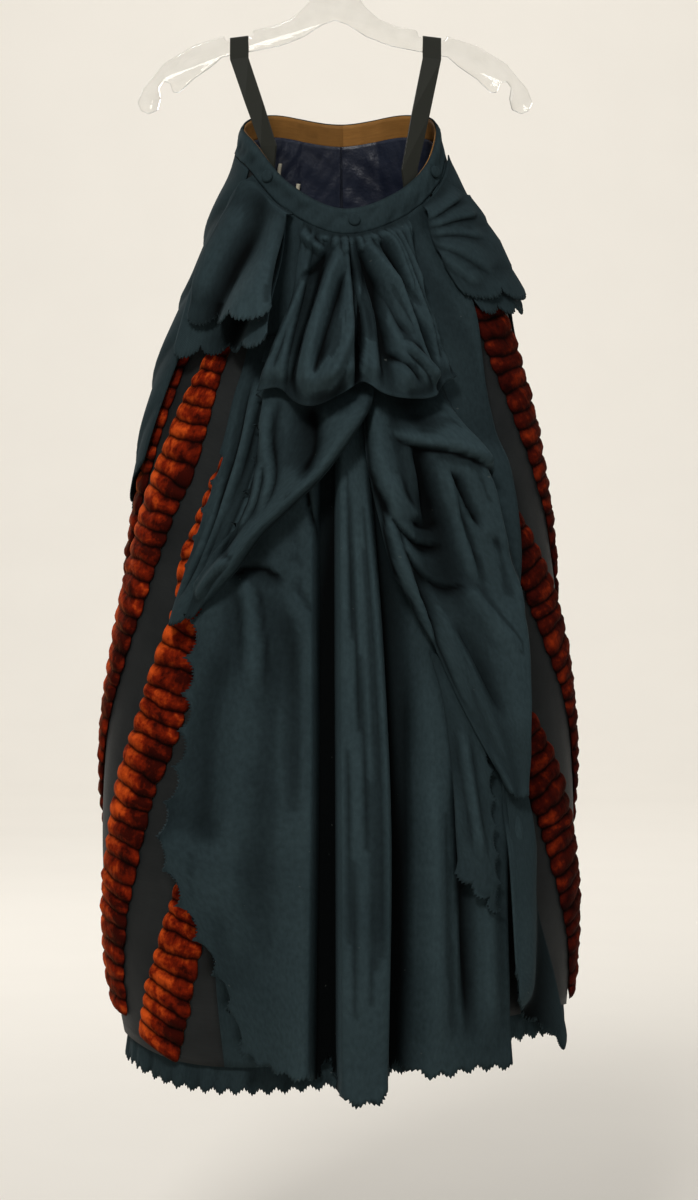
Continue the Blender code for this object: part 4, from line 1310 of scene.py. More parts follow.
GREY_SILK = WovenFinish("grey_silk", "silk", (0.0088, 0.0102, 0.0106), (0.0170, 0.0190, 0.0192), 0.55,
                        rib=0.0009, crinkle=0.25)
NAVY_LINING = WovenFinish("navy_lining", "lining", (0.006, 0.008, 0.018), (0.020, 0.026, 0.045), 0.34,
                          gloss=0.35, crinkle=0.9)
BROWN_FACING = WovenFinish("brown_facing", "facing", (0.145, 0.066, 0.015), (0.300, 0.138, 0.034), 0.62,
                           rib=0.0012, rib_direction="X", crinkle=0.35)
BLACK_TAPE = WovenFinish("black_tape", "tape", (0.012, 0.0130, 0.0100), (0.026, 0.0270, 0.0215), 0.60,
                         rib=0.0010, crinkle=0.12)
BONE_TAPE = WovenFinish("cream_bone", "lining", (0.42, 0.38, 0.28), (0.66, 0.62, 0.50), 0.60, crinkle=0.1)


class Wardrobe:
    """The materials, each made on its first use."""

    def __init__(self) -> None:
        """Starts empty."""
        self.made: dict[object, bpy.types.Material] = {}

    def dress(self, piece: bpy.types.Object, finish: object) -> None:
        """Gives a piece its finish.

        Args:
            piece: The piece.
            finish: Its finish.
        """
        if finish not in self.made:
            self.made[finish] = finish.material()
        piece.data.materials.clear()
        piece.data.materials.append(self.made[finish])


WARDROBE = Wardrobe()


def new_mesh(name: str, points: Array, faces: Sequence, uvs: Array) -> bpy.types.Object:
    """A smooth mesh object in the scene.

    Args:
        name: Name of the piece.
        points: Its places in millimetres.
        faces: Indices of each face's corners.
        uvs: Place of each point in the UV map.

    Returns:
        The object, at the origin.
    """
    data = bpy.data.meshes.new(name)
    data.from_pydata((np.asarray(points) * MM).tolist(), [], faces)
    corners = np.empty(len(data.loops), np.int32)
    data.loops.foreach_get("vertex_index", corners)
    layer = data.uv_layers.new(name="UVMap")
    layer.data.foreach_set("uv", np.asarray(uvs, np.float32)[corners].ravel())
    data.shade_smooth()
    made = bpy.data.objects.new(name, data)
    bpy.context.scene.collection.objects.link(made)
    return made


@dataclass
class ClothPiece:
    """One cut piece of cloth: a grid on the skirt with its cut edges, given its thickness outwards.

    Attributes:
        name: Name of the piece.
        panel: Where it lies.
        rows: Grid rows down the cloth.
        shape: Takes angle, height, u and v and gives how far the cloth stands off what is under it.
        finish: Its finish.
        flat: Width and length of its flat cut, in metres.
        rests_on: What it hangs from or lies on; not used.
        fineness: Grid columns for each of the panel's.
        wall: Its thickness.
        cuts: The cut of its sides, by left, right and bottom.
        closed: Whether it goes all the way round.
        layered: Whether it lies over what is laid before it.
        seam_layer: Its place among the layers of the waist seam, if it is sewn in there.
        seam_share: Share of its length over which it comes out of that seam.
        bridge: How far it bridges the hollows of the cloth under it.
        area: Flat area in square metres where the cut isn't a rectangle.
        follow: How far each line of the grid follows a cut side, from the side inwards.
    """

    name: str
    panel: Panel
    rows: int
    shape: Shape
    finish: object
    flat: tuple[float, float]
    held: str = "hung"
    rests_on: tuple[str, ...] = ("waistband",)
    fineness: int = 4
    wall: float = SHOWN_WOOL
    cuts: dict[str, EdgeCut] = field(default_factory=dict)
    closed: bool = False
    layered: bool = True
    seam_layer: Optional[float] = None
    seam_share: float = 0.09
    bridge: float = 8.0
    area: Optional[float] = None
    follow: tuple[float, ...] = (1.0, 0.7, 0.42, 0.2, 0.07)

    def lift_with(self, layers: LayerMap) -> Shape:
        """The function that gives the lift of the cloth's inner face."""
        if not self.layered:
            return self.shape
        under = layers.cleared(self.bridge)

        def lift(angle: Array, z: Array, u: Array, v: Array) -> Array:
            """How far the inner face lies off the skirt, flat where it comes out of the waist seam."""
            free = under(angle, z) + LAYER_GAP + self.shape(angle, z, u, v)
            if self.seam_layer is None:
                return free
            sewn = SEWN_GAP + (WOOL_WALL + SEWN_GAP) * self.seam_layer
            out_of_seam = 1 - (1 - np.clip(np.asarray(v) / self.seam_share, 0, 1)) ** 2
            return sewn + (free - sewn) * out_of_seam

        return lift

    @staticmethod
    def hollows(lifts: Array, points: Array) -> Array:
        """How deep each place lies in a fold of the cloth, from -0.5 on a ridge to 1 in a deep fold.

        Args:
            lifts: The cloth's lift over its grid.
            points: The grid's points.

        Returns:
            The depths, over the same grid.
        """
        depth, ridge = np.zeros(lifts.shape), np.zeros(lifts.shape)
        for reach, full in ((8.0, 3.2), (20.0, 7.0), (50.0, 13.0)):
            spread = lifts
            for axis in (0, 1):
                pitch = float(np.linalg.norm(np.diff(points, axis=axis), axis=-1).mean())
                half = max(1, round(reach / pitch))
                kernel = np.ones(2 * half + 1) / (2 * half + 1)
                margins = [(half, half) if k == axis else (0, 0) for k in (0, 1)]
                padded = np.pad(spread, margins, mode="edge")
                spread = np.apply_along_axis(np.convolve, axis, padded, kernel, mode="valid")
            depth = np.maximum(depth, (spread - lifts) / full)
            ridge = np.maximum(ridge, (lifts - spread) / full)
        return np.where(depth > 0.05, np.clip(depth, 0, 1) ** 0.8, -0.5 * np.clip(ridge, 0, 1))

    def cut_out(self, angle: Array, z: Array) -> dict[str, list[Array]]:
        """Moves the places along the cut sides out to the cut line, and those near them after them.

        Args:
            angle: Angles of the grid's places, changed here.
            z: Their heights, changed here.

        Returns:
            For each cut side and step of the grid, the places between its own.
        """
        rows, columns = (count - 1 for count in angle.shape)
        between: dict[str, list[Array]] = {}
        for side, cut in self.cuts.items():
            grid = np.linspace(0, 1, (columns if side == "bottom" else rows) + 1)
            own_angle, own_z, between[side] = cut.along_side(self.panel, side, grid)
            lines = [{"left": np.s_[:, step], "right": np.s_[:, columns - step],
                      "bottom": np.s_[rows - step, :]}[side] for step in range(len(self.follow))]
            turned, lowered = own_angle - angle[lines[0]], own_z - z[lines[0]]
            for line, share in zip(lines, self.follow):
                angle[line] = angle[line] + share * turned
                z[line] = z[line] + share * lowered
        return between

    def faces(self, columns: int, last: int, extra: dict[tuple[str, int], list[int]]) -> list[list[int]]:
        """The grid's faces, with the cut line's own points in those at its sides.

        Args:
            columns: Columns of faces.
            last: Columns of points.
            extra: Numbers of the cut line's points, by side and step.

        Returns:
            The point numbers of each face.
        """
        faces = []
        for j in range(self.rows):
            for i in range(columns):
                after = (i + 1) % last
                ring = [j * last + i]
                if i == 0:
                    ring += extra.get(("left", j), [])
                ring.append((j + 1) * last + i)
                if j == self.rows - 1:
                    ring += extra.get(("bottom", i), [])
                ring.append((j + 1) * last + after)
                if i == columns - 1:
                    ring += reversed(extra.get(("right", j), []))
                ring.append(j * last + after)
                faces.append(ring)
        return faces

    def build(self, layers: LayerMap) -> None:
        """Makes the piece, lays it on the map of layers and dresses it.

        Args:
            layers: The cloth that is laid so far.
        """
        columns = self.panel.columns * self.fineness
        u, v = np.meshgrid(np.linspace(0, 1, columns + 1), np.linspace(0, 1, self.rows + 1))
        angle, z = (np.array(part) for part in self.panel.at(u, v))
        between = self.cut_out(angle, z)
        lift = self.lift_with(layers)
        lifts = lift(angle, z, u, v)
        if self.layered:
            layers.lay(angle, z, lifts + self.wall)
        last = columns if self.closed else columns + 1
        grid = FORM.point(angle, z, lifts)
        wide = float(np.mean(np.abs(np.diff(angle, axis=1)).sum(axis=1))) * DEGREES
        long = float(np.mean(np.abs(z[-1] - z[0])))
        size = np.array([wide * float(FORM.arc_radius(angle, z).mean()), long]) * MM
        points = [grid[:, :last].reshape(-1, 3)]
        shares = [np.stack([u, v], axis=-1)[:, :last].reshape(-1, 2)]
        count = len(points[0])
        extra: dict[tuple[str, int], list[int]] = {}
        for side, steps in between.items():
            for n, (t, turn, height) in enumerate(spots.T for spots in steps):
                full = np.ones_like(t)
                share = {"left": (0 * full, t), "right": (full, t), "bottom": (t, full)}[side]
                if len(t):
                    points.append(FORM.point(turn, height, lift(turn, height, *share)))
                    shares.append(np.stack(share, axis=-1))
                    extra[side, n] = list(range(count, count + len(t)))
                    count += len(t)
        faces = self.faces(columns, last, extra)
        made = new_mesh(self.name, np.concatenate(points), faces, np.concatenate(shares) * size)
        # The fold depth is kept on the mesh for the wool's painted shade in folds and painted highlight on
        # ridges
        hollow = self.hollows(lifts, grid)[:, :last].reshape(-1)
        fold = made.data.attributes.new("fold", "FLOAT", "POINT")
        fold.data.foreach_set("value", np.concatenate([hollow, np.zeros(count - len(hollow))]))
        thicken = made.modifiers.new("thickness", "SOLIDIFY")
        thicken.thickness = self.wall * MM
        thicken.offset = 1.0
        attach(made, "root")
        WARDROBE.dress(made, self.finish)
        if self.name.endswith("_cloth"):
            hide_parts(self.name.removesuffix("_cloth"))
        laid = sum(face.area for face in made.data.polygons)
        cut = self.area or self.flat[0] * self.flat[1]
        log.info("%s: %d faces, %.3f of %.3f square metres", self.name, len(faces), laid, cut)


def seam_line(angle: Array) -> Array:
    """Height of the foundation's top edge, under the waistband."""
    return FORM.waist_edge(FORM.wrapped(angle)) - BAND_HEIGHT + 2


def below_waist(distance: float) -> Callable[[Array], Array]:
    """The line that far below the waistband's top edge."""
    return lambda angle: FORM.waist_edge(angle) - distance


@dataclass
class Foundation:
    """The plain skirt under the drapery, of four gores, and the pinked frill under its edge."""

    silk: WovenFinish = GREY_SILK
    wool: WoolFinish = WoolFinish()
    length: float = 0.93
    gore_columns: int = 4
    gore_rows: int = 90

    def build(self, layers: LayerMap) -> None:
        """Makes the gores and the frill."""
        for name, first, last, finish in GORES:
            columns = round((last - first) / GORE_COLUMN)
            panel = Round(first, last, seam_line, FORM.hem_edge, columns)
            ClothPiece(name + "_cloth", panel, self.gore_rows, self.slack,
                       self.wool if finish == "teal_wool" else self.silk,
                       flat=(0.27 * (last - first) / 90, self.length), fineness=self.gore_columns,
                       wall=SHOWN_SILK, layered=False).build(layers)
        frill = Round(-180, 180, lambda angle: FORM.hem_edge(angle) + HEM_FRILL_HIDDEN,
                      lambda angle: FORM.hem_edge(angle) - HEM_FRILL_SHOWS, 90)
        ClothPiece("hem_frill_cloth", frill, 6, self.flare, self.wool, flat=(1.36, 0.045), held="gathered",
                   rests_on=("skirt_front_gore",), fineness=5, closed=True, layered=False,
                   cuts={"bottom": HEM_TEETH}).build(layers)

    @staticmethod
    def slack(angle: Array, z: Array, u: Array, v: Array) -> Array:
        """The gores' slight hollows, inwards from the bare skirt."""
        hollow = 0.5 + 0.5 * wander(angle / 9, z / 90, 1.3)
        return -SHOWN_SILK - 1.6 * hollow * np.sin(np.pi * np.clip(u, 0, 1)) * ease(v / 0.1)

    @staticmethod
    def flare(angle: Array, z: Array, u: Array, v: Array) -> Array:
        """The frill's small waves, under the edge of the skirt."""
        wave = wander(angle / 2.6, v, 0.4)
        return -SILK_WALL - WOOL_WALL - 4.0 + (2.0 + 2.4 * wave) * v


@dataclass
class VelvetBands:
    """The velvet that is gathered into puffs and sewn down in bands round the skirt's sides.

    Attributes:
        pitch: Distance from one puff to the next.
        half: Half of a band's width.
        lobe: How far a puff bulges past that.
        seat: Distance of the velvet's back from the skirt.
        valley: Height between two puffs.
        crest: Height of a puff.
        tapered: Number of puffs over which a narrow top widens.
        steps: Grid rows for each puff.
        across: Grid columns across a band.
        flat_width: Width of its flat cut for each width of the band; not used.
        flat_length: Length of its flat cut for each length of the band; not used.
    """

    pitch: float = 19.0
    half: float = 27.0
    lobe: float = 4.55
    seat: float = 0.7
    valley: float = 4.2
    crest: float = 9.6
    tapered: float = 11.0
    steps: int = 8
    across: int = 16
    flat_width: float = 1.1
    flat_length: float = 1.3

    def build(self, layers: LayerMap) -> None:
        """Makes every band."""
        for number, (name, path) in enumerate(VELVET_PATHS.items()):
            self.band(name, np.array(path, float), number + 1.0, layers)

    def band(self, name: str, path: Array, seed: float, layers: LayerMap) -> None:
        """One band along a path of angles and heights.

        Args:
            name: Name of the band's solid.
            path: Angle and height down its middle.
            seed: Sets its own unevenness.
            layers: The cloth that is laid so far.
        """
        radius = FORM.arc_radius(path[:, 0], path[:, 1])
        runs = np.hypot(np.diff(path[:, 0]) * DEGREES * radius[1:], np.diff(path[:, 1]))
        along = np.concatenate([[0], np.cumsum(runs)])
        puffs = round(along[-1] / self.pitch)
        turn = np.linspace(0, puffs, puffs * self.steps + 1)[:, None]
        stations = turn[:, 0] / puffs * along[-1]
        angle = smooth(stations, along, path[:, 0])
        z = smooth(stations, along, path[:, 1])
        radius = FORM.arc_radius(angle, z) * DEGREES
        run = np.stack([np.gradient(angle) * radius, np.gradient(z)])
        run /= np.hypot(*run)
        share = np.sin(np.linspace(-1, 1, self.across + 1) * np.pi / 2)[None, :] * 0.999
        puff = self.counted(turn, share, puffs, seed)
        side = share * self.half_width(name, turn, puff, seed)
        back = self.seat + 0.25 * (side / self.half) ** 2
        pile = np.maximum(self.relief(turn, share, puff, seed), back + 0.2)
        places = (angle[:, None] - run[1][:, None] * side / radius[:, None],
                  z[:, None] + run[0][:, None] * side)
        layers.lay(*places, pile)
        under = FORM.point(*places, back)[:, ::4][:, ::-1]
        rings = np.concatenate([FORM.point(*places, pile), under[:, 1:-1]], axis=1)
        u = np.concatenate([(share[0] + 1) / 2, np.linspace(1, 0, under.shape[1])[1:-1]])
        drawn = np.concatenate([puff, puff[:, ::4][:, ::-1][:, 1:-1]], axis=1)
        uvs = np.stack(np.broadcast_arrays(u[None, :], drawn), axis=-1)
        made = self.closed_shell(name + "_cloth", rings, uvs)
        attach(made, "root")
        # Bands on the viewer's left get the painted-lit velvet, those on the right the painted-shaded one
        left = "left" in name
        WARDROBE.dress(made, VelvetFinish(PaintedVelvetLight.TOWARDS_LIGHT if left else PaintedVelvetLight.AWAY))
        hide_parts(name)
        log.info("%s: %d puffs, %.0f mm long", name, puffs, along[-1])

    @staticmethod
    def counted(turn: Array, share: Array, puffs: int, seed: float) -> Array:
        """Puffs counted from the top, unevenly across the band and along it.

        Args:
            turn: Puffs counted evenly.
            share: Places across the band, from -1 to 1.
            puffs: Number of puffs.
            seed: Sets the unevenness.

        Returns:
            The uneven count.
        """
        held_ends = ease(turn) * ease(puffs - turn)
        uneven = 0.22 * wander(turn * 0.7, 0.0, seed + 2) + 0.15 * wander(share * 1.4, turn * 0.9, seed)
        return turn + held_ends * (uneven + 0.07 * wander(share * 4.5, turn * 2.3, seed + 3))

    def half_width(self, name: str, turn: Array, puff: Array, seed: float) -> Array:
        """Half of the band's width, with the lobe that each puff makes.

        Args:
            name: Name of the band's solid.
            turn: Puffs counted evenly.
            puff: Puffs counted unevenly.
            seed: Sets the unevenness.

        Returns:
            The half width along the band.
        """
        wide = self.half + self.lobe * np.abs(np.sin(np.pi * puff)) ** 0.5
        wide = wide + 1.6 * wander(turn * 1.9, 0.0, seed + 5)
        narrow = VELVET_TOPS.get(name, VELVET_TOP)
        return wide * (narrow + (1 - narrow) * ease(turn / self.tapered))

    def relief(self, turn: Array, share: Array, puff: Array, seed: float) -> Array:
        """Height of the pile: pillows with small dents, sewn down along both sides.

        Args:
            turn: Puffs counted evenly.
            share: Places across the band, from -1 to 1.
            puff: Puffs counted unevenly.
            seed: Sets the dents.

        Returns:
            The heights over the skirt.
        """
        rise = np.abs(np.sin(np.pi * puff)) ** 0.42
        fullness = 0.80 + 0.20 * wander(share * 2.2, np.floor(puff) * 1.7, seed)
        pillow = np.maximum(0.0, 1 - np.abs(share) ** 3.2) ** 0.5
        dents = 1.1 * wander(share * 6, turn * 4.3, seed + 1) * rise
        high = self.valley + (self.crest - self.valley) * rise * fullness + dents
        return self.seat + (high - self.seat) * pillow

    @staticmethod
    def closed_shell(name: str, rings: Array, uvs: Array) -> bpy.types.Object:
        """A closed piece from the rings round it.

        Args:
            name: Name of the piece.
            rings: Its rings of points, one after another.
            uvs: Their places in the UV map.

        Returns:
            The piece.
        """
        count = rings.shape[1]
        base = np.arange(len(rings) - 1)[:, None] * count
        first = np.arange(count)[None, :]
        after = (first + 1) % count
        faces = np.stack([base + first, base + after, base + count + after, base + count + first], axis=-1)
        ends = [list(range(count))[::-1], [(len(rings) - 1) * count + i for i in range(count)]]
        return new_mesh(name, rings.reshape(-1, 3), faces.reshape(-1, 4).tolist() + ends, uvs.reshape(-1, 2))


@dataclass
class BackDrapery:
    """The wool drapery of the near side, from the layer next to the skirt outwards."""

    wool: WoolFinish = WoolFinish()

    def build(self, layers: LayerMap) -> None:
        """Makes every piece of the back drapery, in the order in which they are laid."""
        self.breadth(layers)
        self.tails(layers)
        self.swag(layers)
        self.cascades(layers)
        self.pouf(layers)

    def breadth(self, layers: LayerMap) -> None:
        """The long pleated breadth of the back."""
        panel = Panel.seen(BACK_ROWS, pleat_lines, stand_off=22, strips=BACK_STRIPS, from_seam=True,
                           bottom=BACK_HEM)

        def shape(angle: Array, z: Array, u: Array, v: Array) -> Array:
            """The pleats, which open out below the pouf."""
            x = panel.across(angle, z)
            high = folded(BACK_PLEATS, x, z)
            free = ease(high / 10)
            below = ease((-480 - z) / 160)
            fuller = high * (0.7 + 0.4 * below) + 5 * free * below
            return np.maximum(fuller + creased(BREADTH_CREASES, x, z) * free * below, 0.0)

        ClothPiece("back_breadth_cloth", panel, 170, shape, self.wool, flat=(0.42, 0.92), seam_layer=0,
                   cuts={"left": EdgeCut(pitch=38, depth=13, start=0.40), "bottom": HEM_TEETH}).build(layers)

    def tails(self, layers: LayerMap) -> None:
        """The scalloped tails that hang below the right swag."""
        side = Panel.seen(SIDE_TAIL_ROWS, strips=(6,), stand_off=30)

        def flared(angle: Array, z: Array, u: Array, v: Array) -> Array:
            """The side tail stands out towards its outer edge."""
            return 8 * ease(u) * v + creased(SIDE_TAIL_CREASES, side.across(angle, z), z)

        ClothPiece("side_tail_cloth", side, 80, flared, self.wool, flat=(0.075, 0.24),
                   rests_on=("right_swag_cloth",), fineness=5,
                   cuts={"bottom": EdgeCut(pitch=30, depth=10)}).build(layers)
        tier = [(left - 1, left_z - 30, right - 3, right_z - 13)
                for left, left_z, right, right_z in SIDE_TAIL_ROWS]
        ClothPiece("side_tail_lower_tier", Panel.seen(tier, strips=(6,), stand_off=20), 60,
                   lambda angle, z, u, v: -4.5 + 3 * ease(u) * v, self.wool, flat=(0.075, 0.24),
                   rests_on=("side_tail_cloth",), fineness=5,
                   cuts={"bottom": EdgeCut(pitch=30)}).build(layers)
        inner = Panel.seen(INNER_TAIL_ROWS, strips=(6,), stand_off=40)

        def bowed(angle: Array, z: Array, u: Array, v: Array) -> Array:
            """The inner tail stands out along its middle."""
            return 5 * np.sin(np.pi * u) * v + creased(INNER_TAIL_CREASES, inner.across(angle, z), z)

        ClothPiece("inner_tail_cloth", inner, 64, bowed, self.wool, flat=(0.05, 0.24),
                   rests_on=("back_breadth_cloth",), fineness=3,
                   cuts={"bottom": EdgeCut(pitch=23, depth=10),
                         "right": EdgeCut(pitch=30, depth=7, start=0.3)}).build(layers)

    def swag(self, layers: LayerMap) -> None:
        """The swag of the viewer's right, rolled along its upper and outer edges."""
        panel = Panel.seen(SWAG_ROWS, strips=(12,), stand_off=44)

        def shape(angle: Array, z: Array, u: Array, v: Array) -> Array:
            """The rolls along the swag's edges and across its top, its slack and its creases."""
            outer = 16 * ease((u - 0.45) / 0.35) * ease((1.02 - u) / 0.14)
            inside = 12 * ease((0.30 - u) / 0.22) * ease((u + 0.03) / 0.1)
            across = 10 * ease((v - 0.2) / 0.08) * ease((0.42 - v) / 0.12) * ease(1 - abs(u - 0.5) / 0.35)
            rolls = (outer + inside + across) * ease(v / 0.15) * (1 - 0.7 * ease((v - 0.75) / 0.25))
            slack = 9 * ease(np.minimum(u, 1 - u) / 0.10) * (1 - 0.7 * ease((v - 0.8) / 0.2))
            loose = ease((v - 0.10) / 0.14)
            creases = creased(SWAG_CREASES, panel.across(angle, z), z)
            return np.maximum((rolls + slack + creases) * loose, 0.0)

        ClothPiece("right_swag_cloth", panel, 130, shape, self.wool, flat=(0.155, 0.48), held="draped",
                   rests_on=("back_pouf_cloth", "back_breadth_cloth"), bridge=14,
                   cuts={"right": EdgeCut(pitch=30, depth=13, start=0.80),
                         "bottom": EdgeCut(depth=9)}).build(layers)

    def cascades(self, layers: LayerMap) -> None:
        """The cascade of the viewer's left, with another below it."""
        under = Panel.seen(UNDER_CASCADE_ROWS, strips=(8,), stand_off=24)

        def bowed(angle: Array, z: Array, u: Array, v: Array) -> Array:
            """The lower cascade stands out along its middle."""
            creases = creased(UNDER_CASCADE_CREASES, under.across(angle, z), z)
            return np.maximum(5 * np.sin(np.pi * u) * v + creases, 0.0)

        ClothPiece("under_cascade_cloth", under, 84, bowed, self.wool, flat=(0.07, 0.32),
                   rests_on=("back_pouf_cloth",), bridge=12,
                   cuts={"left": EdgeCut(pitch=32, depth=11, start=0.4), "bottom": EdgeCut(depth=7)}
                   ).build(layers)
        panel = Panel.seen(CASCADE_ROWS, strips=(10,), stand_off=34)

        def shape(angle: Array, z: Array, u: Array, v: Array) -> Array:
            """The roll along the cascade's inner edge, its slack and its creases."""
            edge = 16 * ease((u - 0.25) / 0.5) * ease((1.03 - u) / 0.16)
            roll = edge * ease((v - 0.1) / 0.25) * ease((1.02 - v) / 0.3)
            slack = 5 * ease(np.minimum(u, 1 - u) / 0.1) * ease((1 - v) / 0.2)
            loose = ease((v - 0.12) / 0.16)
            creases = creased(CASCADE_CREASES, panel.across(angle, z), z)
            return np.maximum((roll + slack + creases) * loose, 0.0)

        ClothPiece("left_cascade_cloth", panel, 96, shape, self.wool, flat=(0.10, 0.32), held="draped",
                   rests_on=("back_pouf_cloth",), bridge=16,
                   cuts={"left": EdgeCut(pitch=36, depth=14, start=0.1),
                         "bottom": EdgeCut(depth=7)}).build(layers)

    def pouf(self, layers: LayerMap) -> None:
        """The gathered pouf under the waistband."""
        panel = Panel.seen(POUF_ROWS, stand_off=58, strips=(22,), from_seam=True, bottom=POUF_HEM)

        def shape(angle: Array, z: Array, u: Array, v: Array) -> Array:
            """The pouf's folds and creases, and the small gathers under the waistband."""
            x = panel.across(angle, z)
            form = folded(POUF_FOLDS, x, z) + 3 + 0.85 * creased(POUF_CREASES, x, z)
            fading = (1 - 0.8 * ease((v - 0.88) / 0.12)) * ease(v / 0.1)
            gathers = 1.6 * wander(x / 3.1, z / 60, 2.0) * ease((0.30 - v) / 0.25)
            return np.maximum(form * fading + gathers, 0.0)

        ClothPiece("back_pouf_cloth", panel, 100, shape, self.wool, flat=(0.27, 0.27), held="gathered",
                   seam_layer=1, seam_share=0.12, bridge=14, fineness=6).build(layers)


@dataclass
class HipFlaps:
    """The scalloped flaps over the hips, each of two layers."""

    wool: WoolFinish = WoolFinish()

    def build(self, layers: LayerMap) -> None:
        """Makes the four flaps."""
        self.left(layers)
        self.right(layers)

    @staticmethod
    def longer(rows: Sequence, left: tuple, right: tuple) -> list:
        """The rows of a flap, with each row's left and right ends one more step out and down."""
        return [(x + left[0] * n, z + left[1] * n, far_x + right[0] * n, far_z + right[1] * n)
                for n, (x, z, far_x, far_z) in enumerate(rows)]

    @staticmethod
    def bell(amount: float) -> Shape:
        """The left flaps' flare, with one soft hollow."""
        return lambda angle, z, u, v: amount * v * (0.55 + 0.45 * np.cos(2 * np.pi * (u - 0.12)))

    def left(self, layers: LayerMap) -> None:
        """The two flaps over the viewer's left hip."""
        under = Panel.seen(self.longer(LEFT_FLAP_ROWS, (-3, -9), (-0.5, -7)), strips=(12,), stand_off=22,
                           from_seam=True)
        ClothPiece("left_flap_under_cloth", under, 70, self.bell(10), self.wool, flat=(0.13, 0.175),
                   seam_layer=1.2, bridge=14, cuts={"bottom": EdgeCut(pitch=32, depth=13)}).build(layers)
        top = Panel.seen(LEFT_FLAP_ROWS, strips=(12,), stand_off=32, from_seam=True)
        bell = self.bell(5)

        def shape(angle: Array, z: Array, u: Array, v: Array) -> Array:
            """The upper flap's flare and its creases."""
            creases = creased(LEFT_FLAP_CREASES, top.across(angle, z), z)
            return np.maximum(bell(angle, z, u, v) + creases, 0.0)

        ClothPiece("left_flap_cloth", top, 70, shape, self.wool, flat=(0.12, 0.15), seam_layer=3.2,
                   bridge=14, cuts={"bottom": EdgeCut(pitch=33, depth=14)}).build(layers)

    def right(self, layers: LayerMap) -> None:
        """The two flaps over the viewer's right hip, pleated like a fan."""
        under = Panel.seen(self.longer(RIGHT_FLAP_ROWS, (4, -4), (2, -4)), strips=(10,), stand_off=20,
                           from_seam=True)
        ClothPiece("right_flap_under_cloth", under, 50, lambda angle, z, u, v: 10 * u * v, self.wool,
                   flat=(0.115, 0.125), seam_layer=2.4, bridge=10,
                   cuts={"bottom": EdgeCut(pitch=30, depth=11)}).build(layers)
        top = Panel.seen(RIGHT_FLAP_ROWS, strips=(10,), stand_off=28, from_seam=True)

        def fan(angle: Array, z: Array, u: Array, v: Array) -> Array:
            """The upper flap's pleats, which spread from its inner edge."""
            pleats = 2.5 * np.abs(np.sin(2.5 * np.pi * v)) * ease(u / 0.4) * ease(v / 0.2) + 3 * u * v
            return np.maximum(pleats + creased(RIGHT_FLAP_CREASES, top.across(angle, z), z), 0.0)

        ClothPiece("right_flap_cloth", top, 50, fan, self.wool, flat=(0.11, 0.11), seam_layer=3.7, bridge=10,
                   cuts={"bottom": EdgeCut(pitch=36, depth=12),
                         "right": EdgeCut(pitch=27, depth=6, pinked=False)}).build(layers)


@dataclass
class FrontApron:
    """The draped apron over the far side, which is the front of the garment."""

    wool: WoolFinish = WoolFinish()
    swags: float = 4.2

    def build(self, layers: LayerMap) -> None:
        """Makes the apron."""
        rows = [((right, right_z), (left, left_z)) for left, left_z, right, right_z in APRON_ROWS]
        panel = Apron(rows, strips=(20,), from_seam=True, seam_drop=0.9)
        ClothPiece("front_apron_cloth", panel, 80, self.drape, self.wool, flat=(0.62, 0.42), held="draped",
                   seam_layer=0.4, bridge=12, cuts={"bottom": EdgeCut(pitch=40)}).build(layers)

    def drape(self, angle: Array, z: Array, u: Array, v: Array) -> Array:
        """The swags across the apron, uneven in height and length.

        Args:
            angle: Angles of its places.
            z: Their heights.
            u: Shares across.
            v: Shares down.

        Returns:
            How far the cloth stands off what is under it.
        """
        u = np.clip(u, 0, 1)
        uneven = 0.13 * wander(u * 3.1, v * 2, 5.0)
        turn = self.swags * (v - 0.30 * (4 * u * (1 - u) - 0.5)) + uneven
        phase = turn % 1.0
        depth = 9.0 + 3.0 * wander(np.floor(turn) * 1.7, u * 2, 4.0)
        swags = depth * ease(phase / 0.72) * ease((1 - phase) / 0.28)
        ripples = 1.3 * wander(angle / 11, v * 7, 2.6)
        free = np.sin(np.pi * u) ** 0.6 * ease(v / 0.12) * (1 - 0.5 * ease((v - 0.88) / 0.12))
        return np.maximum((swags + ripples) * free + 1.0, 0.2)


